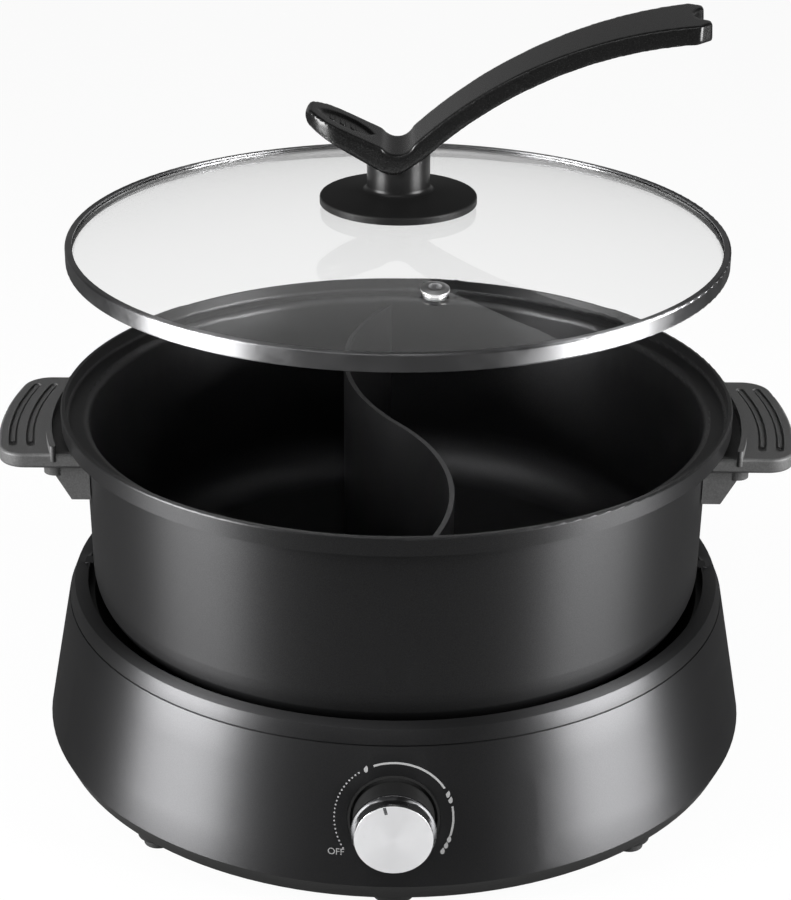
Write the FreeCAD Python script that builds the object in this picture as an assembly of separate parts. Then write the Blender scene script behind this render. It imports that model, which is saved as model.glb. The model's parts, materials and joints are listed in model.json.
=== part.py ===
import FreeCAD, Part
import math
import os

os.makedirs("parts", exist_ok=True)

# Electric hot pot: a heating base, a lift-off pot in two compartments and a glass lid.
# Millimetres. The origin is on the pot's axis, on the table. The knob faces -Y, the side
# handles lie along X, and the lid is drawn lifted off the pot.

# Clearances between pieces
FIT_GAP = 0.15          # between pieces pressed, clamped or screwed together
CORE_GAP = 0.1          # radial, between a screw's shank and its hole
RUN_GAP = 0.05          # radial, between the knob's shaft and its bushing
CLEAR_GAP = 0.3         # beside pieces that only have to pass each other

# Base housing: the painted cone
COVER_Z = 11.0          # underside of the bottom cover
COVER_BAND = 8.0        # height of the bottom cover's outer band
HOUSING_HEIGHT = 61.5
HOUSING_LEAN = 11.8     # how far the cone widens from its top to its foot
HOUSING_WALL = 2.6
FLANGE_WIDTH = 7.4      # from the cone's top edge in to the flange's hole
BOSS_COUNT = 4
BOSS_START_DEG = 22.5
BOSS_INSET = 5.9        # from the cone's top edge in to the screw bosses
BOSS_R = 4.5
BOSS_TOP_Z = 58.0
BOSS_RIB = 3.0

# Bottom cover
COVER_TAPER = 3.7       # how far the cover's band draws in to its foot
COVER_FLOOR = 2.4
COVER_LIP = 5.0         # height of the lip that stands inside the housing
COVER_LIP_WALL = 2.0
CUP_R = 6.2             # cup that holds a cover screw's head
CUP_WEB = 3.0           # what the screw clamps, above the cup's counterbore
VENT_COUNT = 24
VENT_CENTRE_R = 99.0
VENT_LENGTH = 24.0
VENT_WIDTH = 3.0

# Feet
FOOT_COUNT = 8
FOOT_INSET = 13.5       # from the cover's foot edge in to the feet
FOOT_LUG_R = 9.2
FOOT_LUG_LENGTH = 20.0
FOOT_PAD_R = 6.6
FOOT_PAD_HEIGHT = 4.5
FOOT_PLUG_R = 3.5
FOOT_PLUG_DEPTH = 2.5

# Trim ring round the well
RING_RISE = 6.8
RING_LEAN = 2.4         # how far the ring's outer face leans in
RING_POT_GAP = 2.2      # from the pot's wall to the ring's inner edge
RING_WIDTH = 8.9        # from the ring's inner edge to the cone's top edge
RING_SKIN = 2.4
RING_SEAM = 0.6         # open line between the housing and the ring
RING_SETBACK = 0.3
RING_SEAT_INSET = 3.3   # from the cone's top edge in to the ring's seat
RING_SEAT_WALL = 2.2
RING_CROWN = 0.6        # rise from the ring's ridge to its inner edge
LUG_WIDTH = 7.0
LUG_REACH = 1.6
LUG_HEIGHT = 2.6

# Well pan
PAN_SHEET = 1.0
PAN_GAP = 5.0           # between the pot's outside and the pan
PAN_HOLE_GAP = 5.0      # from the heating plate's edge to the pan's hole
PAN_SKIRT = 4.0

# Heating plate, its element and what guards them
PLATE_R = 88.0
PLATE_THICK = 9.0
PLATE_EDGE = 1.5
ELEMENT_INSET = 30.0    # from the plate's edge in to the element's tube
ELEMENT_TUBE_R = 4.0
ELEMENT_GAP_DEG = 36.0  # the opening in the element's ring, at the back
COLD_PIN_R = 2.4
COLD_PIN_LENGTH = 15.0
TAB = (6.3, 0.8, 8.0)   # a blade terminal: width, thickness, length
POST_COUNT = 3
POST_INSET = 13.0       # from the plate's edge in to the posts
POST_START_DEG = 30.0
POST_R = 4.0
POST_FLANGE_R = 8.0
POST_FLANGE = 2.0
CUTOUT_X = 26.0
CUTOUT_R = 8.5
CUTOUT_HEIGHT = 10.0
CUTOUT_EAR_HALF = 12.5
CUTOUT_EAR_THICK = 1.0
CUTOUT_EAR_WIDTH = 6.0
FUSE_X = -26.0
FUSE_R = 2.1
FUSE_LENGTH = 14.0
FUSE_LEAD_R = 0.6
FUSE_LEAD = 9.0
STRAP_SHEET = 0.8
STRAP_WIDTH = 7.0
STRAP_HALF = 11.0

# Terminal block
TERMINAL_PLACE = (60.0, 112.0)
TERMINAL_SIZE = (34.0, 18.0, 15.0)
TERMINAL_WAYS = 3
TERMINAL_HOLE_R = 2.6

# Pot
POT_FLOOR_Z = 72.0      # underside of the pot, which stands on the heating plate
POT_CORNER_R = 26.0
POT_TOP_R = 143.8       # outside of the wall under the rim
POT_DRAFT = 0.9         # how far the wall draws in from the rim to its corner
POT_WALL = 2.6
RIM_TOP_Z = 176.7
RIM_REACH = 10.2        # how far the rim stands out from the wall
RIM_BAND = 8.0
RIM_LIP = 2.1
RIM_SOFTEN = 0.9
LEDGE_DROP = 6.3        # from the rim's top to the ledge that carries the lid
LEDGE_SOFTEN = 3.2
LIP_SOFTEN = 1.6

# Divider: two tangent arcs across the pot
DIVIDER_THICK = 2.2
DIVIDER_DROP = 10.2     # from the rim's top to the divider's top
DIVIDER_CROSS = (1.1, -16.4)
DIVIDER_CROSS_DEG = -54.8
DIVIDER_BACK_X = -3.9
DIVIDER_FRONT_X = 12.1

# Side handles
HANDLE_REACH = 28.5     # from the pot's rim to the handle's outer edge
HANDLE_HALF = 46.0
HANDLE_CORNER_R = 13.0
HANDLE_DROP = 13.2      # from the rim's top to the handle's top
HANDLE_THICK = 7.0
HANDLE_SOFTEN = 1.4
FIN_GAP = 4.4           # from the pot's rim to the fin
FIN_THICK = 2.6
FIN_RISE = 4.0
FIN_HALF = 48.0
GROOVE_INSETS = (6.5, 14.3)
GROOVE_WIDTH = 3.8
GROOVE_DEPTH = 1.5
GROOVE_HALF = 35.0
GROOVE_BAR = 1.8
GROOVE_BAR_RISE = 1.0
GROOVE_BAR_SHORT = 5.0  # the bar stops short of the groove's front end
SHOE_WALL = 2.6         # the handle's upright that hugs the pot
SHOE_HALF = 41.0
SHOE_DROP = 24.5        # from the handle's top to the shoe's foot
GUSSET_THICK = 3.2
GUSSET_COUNT = 4
GUSSET_PROUD = 2.5      # how far the gussets reach past the pot's rim
HANDLE_BOSS_DEG = 13.2
HANDLE_BOSS_PROUD = 3.6 # from the pot's rim to the screw bosses
HANDLE_BOSS_R = 5.6
HANDLE_BOSS_DROP = 5.5

# Handle brackets and screws
BRACKET_SHEET = 1.6
BRACKET_HALF = 32.0
BRACKET_DROP = 20.5     # from the handle's top to the bracket's foot
TONGUE_PROUD = 9.0      # how far the bracket's tongue reaches past the pot's rim
TONGUE_DROP = 3.0       # from the handle's top to the tongue's top
TONGUE_HALF = 41.0
SCREW_SHANK_R = 1.9
SCREW_HEAD_R = 3.6
SCREW_HEAD = 2.0
HANDLE_SCREW_SINK = 2.4
COVER_SCREW_REACH = 9.0

# Dial, knob and power regulator
DIAL_Z = 48.7
DIAL_R = 19.5
DIAL_WALL = 1.1
DIAL_SINK = 9.3         # from the cone's foot edge in to the dial's floor
DIAL_FLOOR = 2.4
KNOB_PROUD = 9.0        # from the cone's foot edge out to the knob's face
KNOB_FACE_R = 16.3
KNOB_SKIRT_R = 17.9
KNOB_BEVEL = 4.4
KNOB_SKIRT = 2.2
KNOB_SHELL = 1.0
KNOB_BARREL_R = 17.2
KNOB_WALL = 2.2
KNOB_FRONT_WALL = 2.6
KNOB_REAR_GAP = 1.2     # from the knob's rear to the dial's floor
KNOB_HUB_R = 6.5
KNOB_HUB_GAP = 1.0      # from the hub to the regulator's nut
NOTCH_DEG = 14.0        # the mark's turn from straight up, anticlockwise from the front
NOTCH_SIZE = (1.4, 3.6, 0.5)
SHAFT_R = 3.0
SHAFT_FLAT = 1.0
SHAFT_FRONT_GAP = 1.0   # from the shaft's end to the knob's front wall
SHAFT_IN_REGULATOR = 12.0
CLIP_SIZE = (3.2, 0.4, 8.0)
REGULATOR_SIZE = (34.0, 30.0, 22.0)
REGULATOR_BUSH_R = 5.0
REGULATOR_TABS = 4
NUT_R = 7.5
NUT_THICK = 2.4
NUT_SIDES = 6
BUSH_PROUD = 0.4        # how far the bushing stands out of its nut
BRACKET_PLATE = 1.2
REGULATOR_BRACKET_HALF = 14.0
REGULATOR_BRACKET_RISE = 9.0
REGULATOR_BRACKET_FOOT = 18.0

# Power inlet at the back
INLET_Z = 44.0
INLET_SIZE = (38.0, 28.0, 26.0)
INLET_PROUD = 5.3       # from the cone's foot edge out to the inlet's face
INLET_CORNER_R = 4.0
INLET_WELL = (26.0, 18.0, 16.0)
INLET_EAR = (13.0, 12.0, 3.0)
INLET_EAR_SINK = 22.0   # from the inlet's face in to its ears
INLET_POST_R = 4.5
INLET_SCREW_REACH = 12.0
PIN_SIZE = (2.0, 30.0, 4.0)
PIN_SINK = 36.0         # from the inlet's face in to the pins' ends
PIN_PITCH = 7.0
PIN_DROP = 1.0          # the outer pins lie this far under the inlet's centre
PIN_RISE = 3.0          # and the middle pin this far over it

# Lid
LID_RISE = 74.6         # how far the lid is lifted off the pot
BAND_INSET = 6.0        # from the pot's rim in to the lid's band
BAND_HEIGHT = 7.6
BAND_SHEET = 0.8
BAND_TOP_LIP = 3.0
BAND_LOW_LIP = 3.4
BAND_SOFTEN = 0.8
GLASS_THICK = 4.0
GLASS_RISE = 16.0       # from the glass's flat edge to its crown
GLASS_HOLE_R = 3.4
VENT_HOLE_CENTRE_R = 97.0
VENT_HOLE_DEG = -81.0
VENT_HEAD_R = 6.0
VENT_HEAD = 1.6
VENT_TUBE_R = 4.2
VENT_BORE_R = 2.8

# Lid handle and its neck
FLANGE_R = 35.0
FLANGE_EDGE = 3.4
FLANGE_CONE = 2.4
FLANGE_SOFTEN = 1.0
GASKET_THICK = 0.8
GASKET_R = 30.0
NECK_R = 14.0
NECK_FOOT_R = 2.5
LID_SCREW_R = 3.0
LID_SCREW_HEAD_R = 7.0
LID_SCREW_HEAD = 3.5
LID_SCREW_IN_GRIP = 6.0
WASHER_R = 11.0
WASHER_THICK = 1.5
# Side outline of the handle: X, and height over the top of the lid's band
PADDLE_TOP = (-38.5, 58.4)
PADDLE_TIP = (-41.0, 54.8)
PADDLE_LOW = (-38.2, 50.9)
VALLEY_START = (-7.0, 43.9)
VALLEY_BOTTOM = (0.5, 40.7)
VALLEY_END = (6.5, 45.4)
ARM_TOP_MIDDLE = (59.5, 81.0)
ARM_TOP_END = (132.0, 100.0)
ARM_LOW_END = (132.6, 92.0)
ARM_LOW_MIDDLE = (66.0, 75.4)
ARM_LOW_START = (12.0, 39.6)
NOSE_FRONT = (3.0, 33.2)
NOSE_BOTTOM = (-2.5, 31.6)
NOSE_BACK = (-8.0, 33.3)
# Plan outline of the handle
PADDLE_HALF = 17.5
VALLEY_HALF = 16.5
ARM_MIDDLE_HALF = 17.8
ARM_TIP_HALF = 23.0
TIP_CORNER = 6.0
TIP_NOTCH_HALF = 12.0
TIP_NOTCH_DEPTH = 6.0
THUMB_LENGTH = 26.0
THUMB_HALF = 8.5
THUMB_DEPTH = 1.1

# Radii that follow from the pot's and the plate's
POT_LOW_R = POT_TOP_R - POT_DRAFT
RIM_R = POT_TOP_R + RIM_REACH
RING_INNER_R = POT_TOP_R + RING_POT_GAP
HOUSING_TOP_R = RING_INNER_R + RING_WIDTH
HOUSING_LOW_R = HOUSING_TOP_R + HOUSING_LEAN
HOUSING_FLANGE_R = HOUSING_TOP_R - FLANGE_WIDTH
BOSS_CENTRE_R = HOUSING_TOP_R - BOSS_INSET
RING_SEAT_R = HOUSING_TOP_R - RING_SEAT_INSET
COVER_LOW_R = HOUSING_LOW_R - COVER_TAPER
FOOT_CENTRE_R = COVER_LOW_R - FOOT_INSET
PAN_HOLE_R = PLATE_R + PAN_HOLE_GAP
ELEMENT_RING_R = PLATE_R - ELEMENT_INSET
POST_CENTRE_R = PLATE_R - POST_INSET
DIVIDER_END_R = POT_TOP_R - POT_WALL - FIT_GAP
DIVIDER_BACK = (DIVIDER_BACK_X, math.sqrt(DIVIDER_END_R ** 2 - DIVIDER_BACK_X ** 2))
DIVIDER_FRONT = (DIVIDER_FRONT_X, -math.sqrt(DIVIDER_END_R ** 2 - DIVIDER_FRONT_X ** 2))
HANDLE_R = RIM_R + HANDLE_REACH
FIN_INNER_R = RIM_R + FIN_GAP
GROOVE_RADII = tuple(HANDLE_R - inset for inset in GROOVE_INSETS)
GUSSET_REACH = RIM_R + GUSSET_PROUD
HANDLE_BOSS_CENTRE_R = RIM_R + HANDLE_BOSS_PROUD
TONGUE_REACH = RIM_R + TONGUE_PROUD
DIAL_FLOOR_Y = HOUSING_LOW_R - DIAL_SINK
KNOB_FACE_Y = HOUSING_LOW_R + KNOB_PROUD
INLET_FACE_Y = HOUSING_LOW_R + INLET_PROUD
INLET_EAR_Y = INLET_FACE_Y - INLET_EAR_SINK
PIN_REAR_Y = INLET_FACE_Y - PIN_SINK
BAND_R = RIM_R - BAND_INSET

# Heights and places that follow from the sizes above
HOUSING_Z = COVER_Z + COVER_BAND
SEAM_Z = HOUSING_Z + HOUSING_HEIGHT
COVER_TOP_Z = COVER_Z + COVER_FLOOR
BOSS_LOW_Z = HOUSING_Z + COVER_LIP + CLEAR_GAP
CUP_TOP_Z = BOSS_LOW_Z - FIT_GAP
COVER_SCREW_Z = CUP_TOP_Z - CUP_WEB
RING_RIDGE_Z = SEAM_Z + RING_RISE
POT_CORNER_Z = POT_FLOOR_Z + POT_CORNER_R
POT_CORNER_CENTRE_R = POT_LOW_R - POT_CORNER_R
RIM_LOW_Z = RIM_TOP_Z - RIM_BAND
LEDGE_Z = RIM_TOP_Z - LEDGE_DROP
DIVIDER_TOP_Z = RIM_TOP_Z - DIVIDER_DROP
PLATE_LOW_Z = POT_FLOOR_Z - PLATE_THICK
HANDLE_TOP_Z = RIM_TOP_Z - HANDLE_DROP
HANDLE_LOW_Z = HANDLE_TOP_Z - HANDLE_THICK
HANDLE_INNER_R = POT_TOP_R + FIT_GAP
DIAL_BACK_Y = DIAL_FLOOR_Y - DIAL_FLOOR
REGULATOR_FRONT_Y = DIAL_BACK_Y - BRACKET_PLATE
NUT_FRONT_Y = DIAL_FLOOR_Y + NUT_THICK
KNOB_REAR_Y = DIAL_FLOOR_Y + KNOB_REAR_GAP
KNOB_HUB_Y = NUT_FRONT_Y + KNOB_HUB_GAP
KNOB_FRONT_Y = KNOB_FACE_Y - KNOB_SHELL - FIT_GAP
KNOB_INNER_Y = KNOB_FRONT_Y - KNOB_FRONT_WALL
SHAFT_FRONT_Y = KNOB_INNER_Y - SHAFT_FRONT_GAP
SHAFT_REAR_Y = REGULATOR_FRONT_Y - SHAFT_IN_REGULATOR
INLET_LOW_Z = INLET_Z - INLET_SIZE[2] / 2
INLET_EAR_X = INLET_SIZE[0] / 2 + INLET_EAR[0] / 2
BAND_LOW_Z = LEDGE_Z + LID_RISE
BAND_TOP_Z = BAND_LOW_Z + BAND_HEIGHT
GLASS_EDGE_R = BAND_R - BAND_SHEET - FIT_GAP
GLASS_FLAT_R = BAND_R - BAND_TOP_LIP - CLEAR_GAP
GLASS_EDGE_Z = BAND_TOP_Z - BAND_SHEET - FIT_GAP
GLASS_CROWN_Z = GLASS_EDGE_Z + GLASS_RISE
GLASS_SPHERE_R = (GLASS_FLAT_R ** 2 + GLASS_RISE ** 2) / (2 * GLASS_RISE)

# Directions, and a length that reaches past everything it cuts
BEYOND = 500.0
QUARTER_TURN = 90.0
FULL_TURN = 360.0
SAME_POINT = 1e-6
ORIGIN = FreeCAD.Vector(0, 0, 0)
X_AXIS = FreeCAD.Vector(1, 0, 0)
Y_AXIS = FreeCAD.Vector(0, 1, 0)
Z_AXIS = FreeCAD.Vector(0, 0, 1)


def vec(x, y, z):
    return FreeCAD.Vector(x, y, z)


def polar(radius, degrees, z=0.0):
    angle = math.radians(degrees)
    return vec(radius * math.cos(angle), radius * math.sin(angle), z)


def upright(u, v):
    """A point of an outline in the XZ plane."""
    return vec(u, 0, v)


def level(u, v):
    """A point of an outline in the XY plane."""
    return vec(u, v, 0)


def outline(place, start, *steps):
    """A face inside a closed path. A step is a point, or (through, end) for an arc."""
    edges = []
    here = place(*start)
    for step in steps + (start,):
        if isinstance(step[0], tuple):
            through, end = (place(*point) for point in step)
            edges.append(Part.Arc(here, through, end).toShape())
        else:
            end = place(*step)
            if here.distanceToPoint(end) > SAME_POINT:
                edges.append(Part.LineSegment(here, end).toShape())
        here = end
    return Part.Face(Part.Wire(edges))


def turned(start, *steps):
    """A solid turned about Z from an outline of radius and height."""
    return outline(upright, start, *steps).revolve(ORIGIN, Z_AXIS, FULL_TURN)


def rod(radius, low, high, x=0.0, y=0.0):
    """An upright cylinder between two heights."""
    return Part.makeCylinder(radius, high - low, vec(x, y, low))


def block(size, centre, low):
    """A box centred on a point in plan, standing on a height."""
    corner = vec(centre[0] - size[0] / 2, centre[1] - size[1] / 2, low)
    return Part.makeBox(size[0], size[1], size[2], corner)


def around(shape, count, start_deg=0.0):
    """Copies of a shape, evenly spaced about the Z axis."""
    copies = []
    for index in range(count):
        copy = shape.copy()
        copy.rotate(ORIGIN, Z_AXIS, start_deg + index * FULL_TURN / count)
        copies.append(copy)
    return copies


def arc_bar(inner_r, outer_r, half, low, high):
    """A square-ended bar bent about the Z axis, on the +X side."""
    ring = rod(outer_r, low, high).cut(rod(inner_r, low, high))
    return ring.common(Part.makeBox(BEYOND, 2 * half, high - low, vec(0, -half, low)))


def round_bar(centre_r, width, front, back, low, high):
    """A round-ended bar bent about the Z axis, from Y -front to Y back."""
    ring = rod(centre_r + width / 2, low, high).cut(rod(centre_r - width / 2, low, high))
    bar = ring.common(Part.makeBox(BEYOND, front + back, high - low, vec(0, -front, low)))
    for y in (-front, back):
        bar = bar.fuse(rod(width / 2, low, high, math.sqrt(centre_r ** 2 - y ** 2), y))
    return bar


def rounded(shape, radius, wanted):
    """Rounds the edges that a test picks."""
    return shape.makeFillet(radius, [edge for edge in shape.Edges if wanted(edge)])


def facing_front(shape):
    """Turns a shape drawn along Z to face -Y at the dial. Heights become distances."""
    shape.rotate(ORIGIN, X_AXIS, QUARTER_TURN)
    shape.translate(vec(0, 0, DIAL_Z))
    return shape


def mirrored(shape):
    return shape.mirror(ORIGIN, X_AXIS)


def save(name, *shapes):
    """Writes the solids of one node."""
    solids = [solid for shape in shapes for solid in shape.removeSplitter().Solids]
    whole = solids[0] if len(solids) == 1 else Part.makeCompound(solids)
    whole.exportStep(f"parts/{name}.step")


# Base

def housing_r(z):
    """Outside radius of the housing at a height."""
    share = (z - HOUSING_Z) / HOUSING_HEIGHT
    return HOUSING_LOW_R + share * (HOUSING_TOP_R - HOUSING_LOW_R)


def housing_core():
    """Everything inside the housing's outer face."""
    return turned((0, HOUSING_Z), (HOUSING_LOW_R, HOUSING_Z), (HOUSING_TOP_R, SEAM_Z), (0, SEAM_Z))


def base_housing():
    flange_z = SEAM_Z - HOUSING_WALL
    shell = turned(
        (HOUSING_LOW_R, HOUSING_Z),
        (HOUSING_TOP_R, SEAM_Z),
        (HOUSING_FLANGE_R, SEAM_Z),
        (HOUSING_FLANGE_R, flange_z),
        (housing_r(flange_z) - HOUSING_WALL, flange_z),
        (HOUSING_LOW_R - HOUSING_WALL, HOUSING_Z),
    )
    rib = Part.makeBox(HOUSING_LOW_R - BOSS_CENTRE_R, BOSS_RIB, BOSS_TOP_Z - BOSS_LOW_Z,
                       vec(BOSS_CENTRE_R, -BOSS_RIB / 2, BOSS_LOW_Z))
    boss = rod(BOSS_R, BOSS_LOW_Z, BOSS_TOP_Z, BOSS_CENTRE_R).fuse(rib).common(housing_core())
    shell = shell.fuse(around(boss, BOSS_COUNT, BOSS_START_DEG))
    core = rod(SCREW_SHANK_R + CORE_GAP, BOSS_LOW_Z, CUP_TOP_Z + COVER_SCREW_REACH, BOSS_CENTRE_R)
    shell = shell.cut(around(core, BOSS_COUNT, BOSS_START_DEG))
    shell = shell.cut(facing_front(rod(DIAL_R + FIT_GAP, DIAL_BACK_Y - HOUSING_WALL, KNOB_FACE_Y)))
    return shell.cut(inlet_block(FIT_GAP))


def base_ring():
    outer_r = HOUSING_TOP_R - RING_SETBACK
    seat_z = SEAM_Z + PAN_SHEET
    top_z = RING_RIDGE_Z + RING_CROWN
    ring = turned(
        (outer_r, SEAM_Z + RING_SEAM),
        (outer_r - RING_LEAN, RING_RIDGE_Z),
        (RING_INNER_R, top_z),
        (RING_INNER_R, top_z - RING_SKIN),
        (RING_SEAT_R - RING_SEAT_WALL, top_z - RING_SKIN),
        (RING_SEAT_R - RING_SEAT_WALL, seat_z),
        (RING_SEAT_R, seat_z),
        (RING_SEAT_R, SEAM_Z + RING_SEAM),
    )
    lug = Part.makeBox(LUG_REACH + RING_SKIN, LUG_WIDTH, LUG_HEIGHT,
                       vec(RING_INNER_R - LUG_REACH, -LUG_WIDTH / 2, top_z - LUG_HEIGHT))
    return ring.fuse([lug, mirrored(lug)])


def pan_face_r(radius, z):
    """Where the pan's rounded corner of a radius meets a height."""
    return POT_CORNER_CENTRE_R + math.sqrt(radius ** 2 - (POT_CORNER_Z - z) ** 2)


def pan_face_middle(radius, z):
    """A point halfway along the pan's rounded corner, which ends at a height."""
    end_deg = math.degrees(math.asin((POT_CORNER_Z - z) / radius))
    middle = polar(radius, (end_deg + QUARTER_TURN) / 2)
    return (POT_CORNER_CENTRE_R + middle.x, POT_CORNER_Z - middle.y)


def well_pan():
    upper_r = POT_CORNER_R + PAN_GAP
    lower_r = upper_r + PAN_SHEET
    upper_z = POT_CORNER_Z - upper_r
    lower_z = POT_CORNER_Z - lower_r
    rim_z = SEAM_Z + PAN_SHEET
    return turned(
        (PAN_HOLE_R, upper_z),
        (POT_CORNER_CENTRE_R, upper_z),
        (pan_face_middle(upper_r, rim_z), (pan_face_r(upper_r, rim_z), rim_z)),
        (RING_SEAT_R - FIT_GAP, rim_z),
        (RING_SEAT_R - FIT_GAP, SEAM_Z),
        (pan_face_r(lower_r, SEAM_Z), SEAM_Z),
        (pan_face_middle(lower_r, SEAM_Z), (POT_CORNER_CENTRE_R, lower_z)),
        (PAN_HOLE_R + PAN_SHEET, lower_z),
        (PAN_HOLE_R + PAN_SHEET, lower_z - PAN_SKIRT),
        (PAN_HOLE_R, lower_z - PAN_SKIRT),
    )


def bottom_cover():
    lip_r = HOUSING_LOW_R - HOUSING_WALL - FIT_GAP
    lip_top_r = lip_r - (HOUSING_LOW_R - housing_r(HOUSING_Z + COVER_LIP))
    tray = turned(
        (0, COVER_Z),
        (COVER_LOW_R, COVER_Z),
        (HOUSING_LOW_R, HOUSING_Z),
        (lip_r, HOUSING_Z),
        (lip_top_r, HOUSING_Z + COVER_LIP),
        (lip_top_r - COVER_LIP_WALL, HOUSING_Z + COVER_LIP),
        (lip_top_r - COVER_LIP_WALL, COVER_TOP_Z),
        (0, COVER_TOP_Z),
    )
    cup = rod(CUP_R, COVER_Z, CUP_TOP_Z, BOSS_CENTRE_R)
    lug = rod(FOOT_LUG_R, FOOT_PAD_HEIGHT, COVER_TOP_Z, FOOT_CENTRE_R)
    lug_box = (FOOT_LUG_LENGTH, 2 * FOOT_LUG_R, COVER_TOP_Z - FOOT_PAD_HEIGHT)
    lug = lug.fuse(block(lug_box, (FOOT_CENTRE_R - FOOT_LUG_LENGTH / 2, 0), FOOT_PAD_HEIGHT))
    posts = [rod(INLET_POST_R, COVER_Z, INLET_LOW_Z, x, INLET_EAR_Y)
             for x in (-INLET_EAR_X, INLET_EAR_X)]
    tray = tray.fuse(around(cup, BOSS_COUNT, BOSS_START_DEG) + around(lug, FOOT_COUNT) + posts)
    head = rod(SCREW_HEAD_R + CLEAR_GAP, COVER_Z, COVER_SCREW_Z, BOSS_CENTRE_R)
    shank = rod(SCREW_SHANK_R + CORE_GAP, COVER_Z, CUP_TOP_Z, BOSS_CENTRE_R)
    plug_z = FOOT_PAD_HEIGHT + FOOT_PLUG_DEPTH + FIT_GAP
    plug = rod(FOOT_PLUG_R + CORE_GAP, FOOT_PAD_HEIGHT, plug_z, FOOT_CENTRE_R)
    vent = block((VENT_LENGTH, VENT_WIDTH, COVER_FLOOR), (VENT_CENTRE_R, 0), COVER_Z)
    cuts = around(head.fuse(shank), BOSS_COUNT, BOSS_START_DEG) + around(plug, FOOT_COUNT)
    cuts += around(vent, VENT_COUNT)
    cuts += [rod(SCREW_SHANK_R + CORE_GAP, INLET_LOW_Z - INLET_SCREW_REACH, INLET_LOW_Z, x, INLET_EAR_Y)
             for x in (-INLET_EAR_X, INLET_EAR_X)]
    return tray.cut(cuts)


def foot_pads():
    pad = rod(FOOT_PAD_R, 0, FOOT_PAD_HEIGHT, FOOT_CENTRE_R)
    pad = pad.fuse(rod(FOOT_PLUG_R, 0, FOOT_PAD_HEIGHT + FOOT_PLUG_DEPTH, FOOT_CENTRE_R))
    return around(pad, FOOT_COUNT)


def screw(x, y, seat_z, reach):
    """A screw from below: its head under a height, its shank reaching up from it."""
    head = rod(SCREW_HEAD_R, seat_z - SCREW_HEAD, seat_z, x, y)
    return head.fuse(rod(SCREW_SHANK_R, seat_z - SCREW_HEAD, seat_z + reach, x, y))


def cover_screws():
    one = screw(BOSS_CENTRE_R, 0, COVER_SCREW_Z, COVER_SCREW_REACH)
    return around(one, BOSS_COUNT, BOSS_START_DEG)


# Heater

def element_ends():
    """The two ends of the element's open ring."""
    first_deg = QUARTER_TURN + ELEMENT_GAP_DEG / 2
    return [polar(ELEMENT_RING_R, first_deg, PLATE_LOW_Z),
            polar(ELEMENT_RING_R, first_deg - ELEMENT_GAP_DEG, PLATE_LOW_Z)]


def element_ring(tube_r):
    """The element's open ring with round ends, of a tube radius."""
    ends = element_ends()
    along = Z_AXIS.cross(vec(ends[0].x, ends[0].y, 0))
    section = Part.Face(Part.Wire(Part.makeCircle(tube_r, ends[0], along)))
    ring = section.revolve(ORIGIN, Z_AXIS, FULL_TURN - ELEMENT_GAP_DEG)
    return ring.fuse([Part.makeSphere(tube_r, end) for end in ends])


def heating_plate():
    plate = turned(
        (0, PLATE_LOW_Z),
        (PLATE_R, PLATE_LOW_Z),
        (PLATE_R, POT_FLOOR_Z - PLATE_EDGE),
        (PLATE_R - PLATE_EDGE, POT_FLOOR_Z),
        (0, POT_FLOOR_Z),
    )
    return plate.cut(element_ring(ELEMENT_TUBE_R + FIT_GAP))


def heating_element():
    element = element_ring(ELEMENT_TUBE_R)
    pin_low_z = PLATE_LOW_Z - ELEMENT_TUBE_R - COLD_PIN_LENGTH
    for end in element_ends():
        pin = rod(COLD_PIN_R, pin_low_z, PLATE_LOW_Z, end.x, end.y)
        tab = block((TAB[0], TAB[1], TAB[2] + COLD_PIN_R), (end.x, end.y), pin_low_z - TAB[2])
        element = element.fuse([pin, tab])
    return element


def heater_posts():
    post = rod(POST_R, COVER_TOP_Z, PLATE_LOW_Z, POST_CENTRE_R)
    post = post.fuse([
        rod(POST_FLANGE_R, COVER_TOP_Z, COVER_TOP_Z + POST_FLANGE, POST_CENTRE_R),
        rod(POST_FLANGE_R, PLATE_LOW_Z - POST_FLANGE, PLATE_LOW_Z, POST_CENTRE_R),
    ])
    return around(post, POST_COUNT, POST_START_DEG)


def thermal_cutout():
    body = rod(CUTOUT_R, PLATE_LOW_Z - CUTOUT_HEIGHT, PLATE_LOW_Z, CUTOUT_X)
    ear = (CUTOUT_EAR_WIDTH, 2 * CUTOUT_EAR_HALF, CUTOUT_EAR_THICK)
    body = body.fuse(block(ear, (CUTOUT_X, 0), PLATE_LOW_Z - CUTOUT_EAR_THICK))
    tab_low_z = PLATE_LOW_Z - CUTOUT_HEIGHT - TAB[2]
    tabs = [block((TAB[1], TAB[0], 2 * TAB[2]), (CUTOUT_X + side * CUTOUT_R / 2, 0), tab_low_z)
            for side in (-1, 1)]
    return body.fuse(tabs)


def thermal_fuse():
    axis_z = PLATE_LOW_Z - FUSE_R
    fuse = Part.makeCylinder(FUSE_R, FUSE_LENGTH, vec(FUSE_X, -FUSE_LENGTH / 2, axis_z), Y_AXIS)
    length = FUSE_LENGTH + 2 * FUSE_LEAD
    return fuse.fuse(Part.makeCylinder(FUSE_LEAD_R, length, vec(FUSE_X, -length / 2, axis_z), Y_AXIS))


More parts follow.
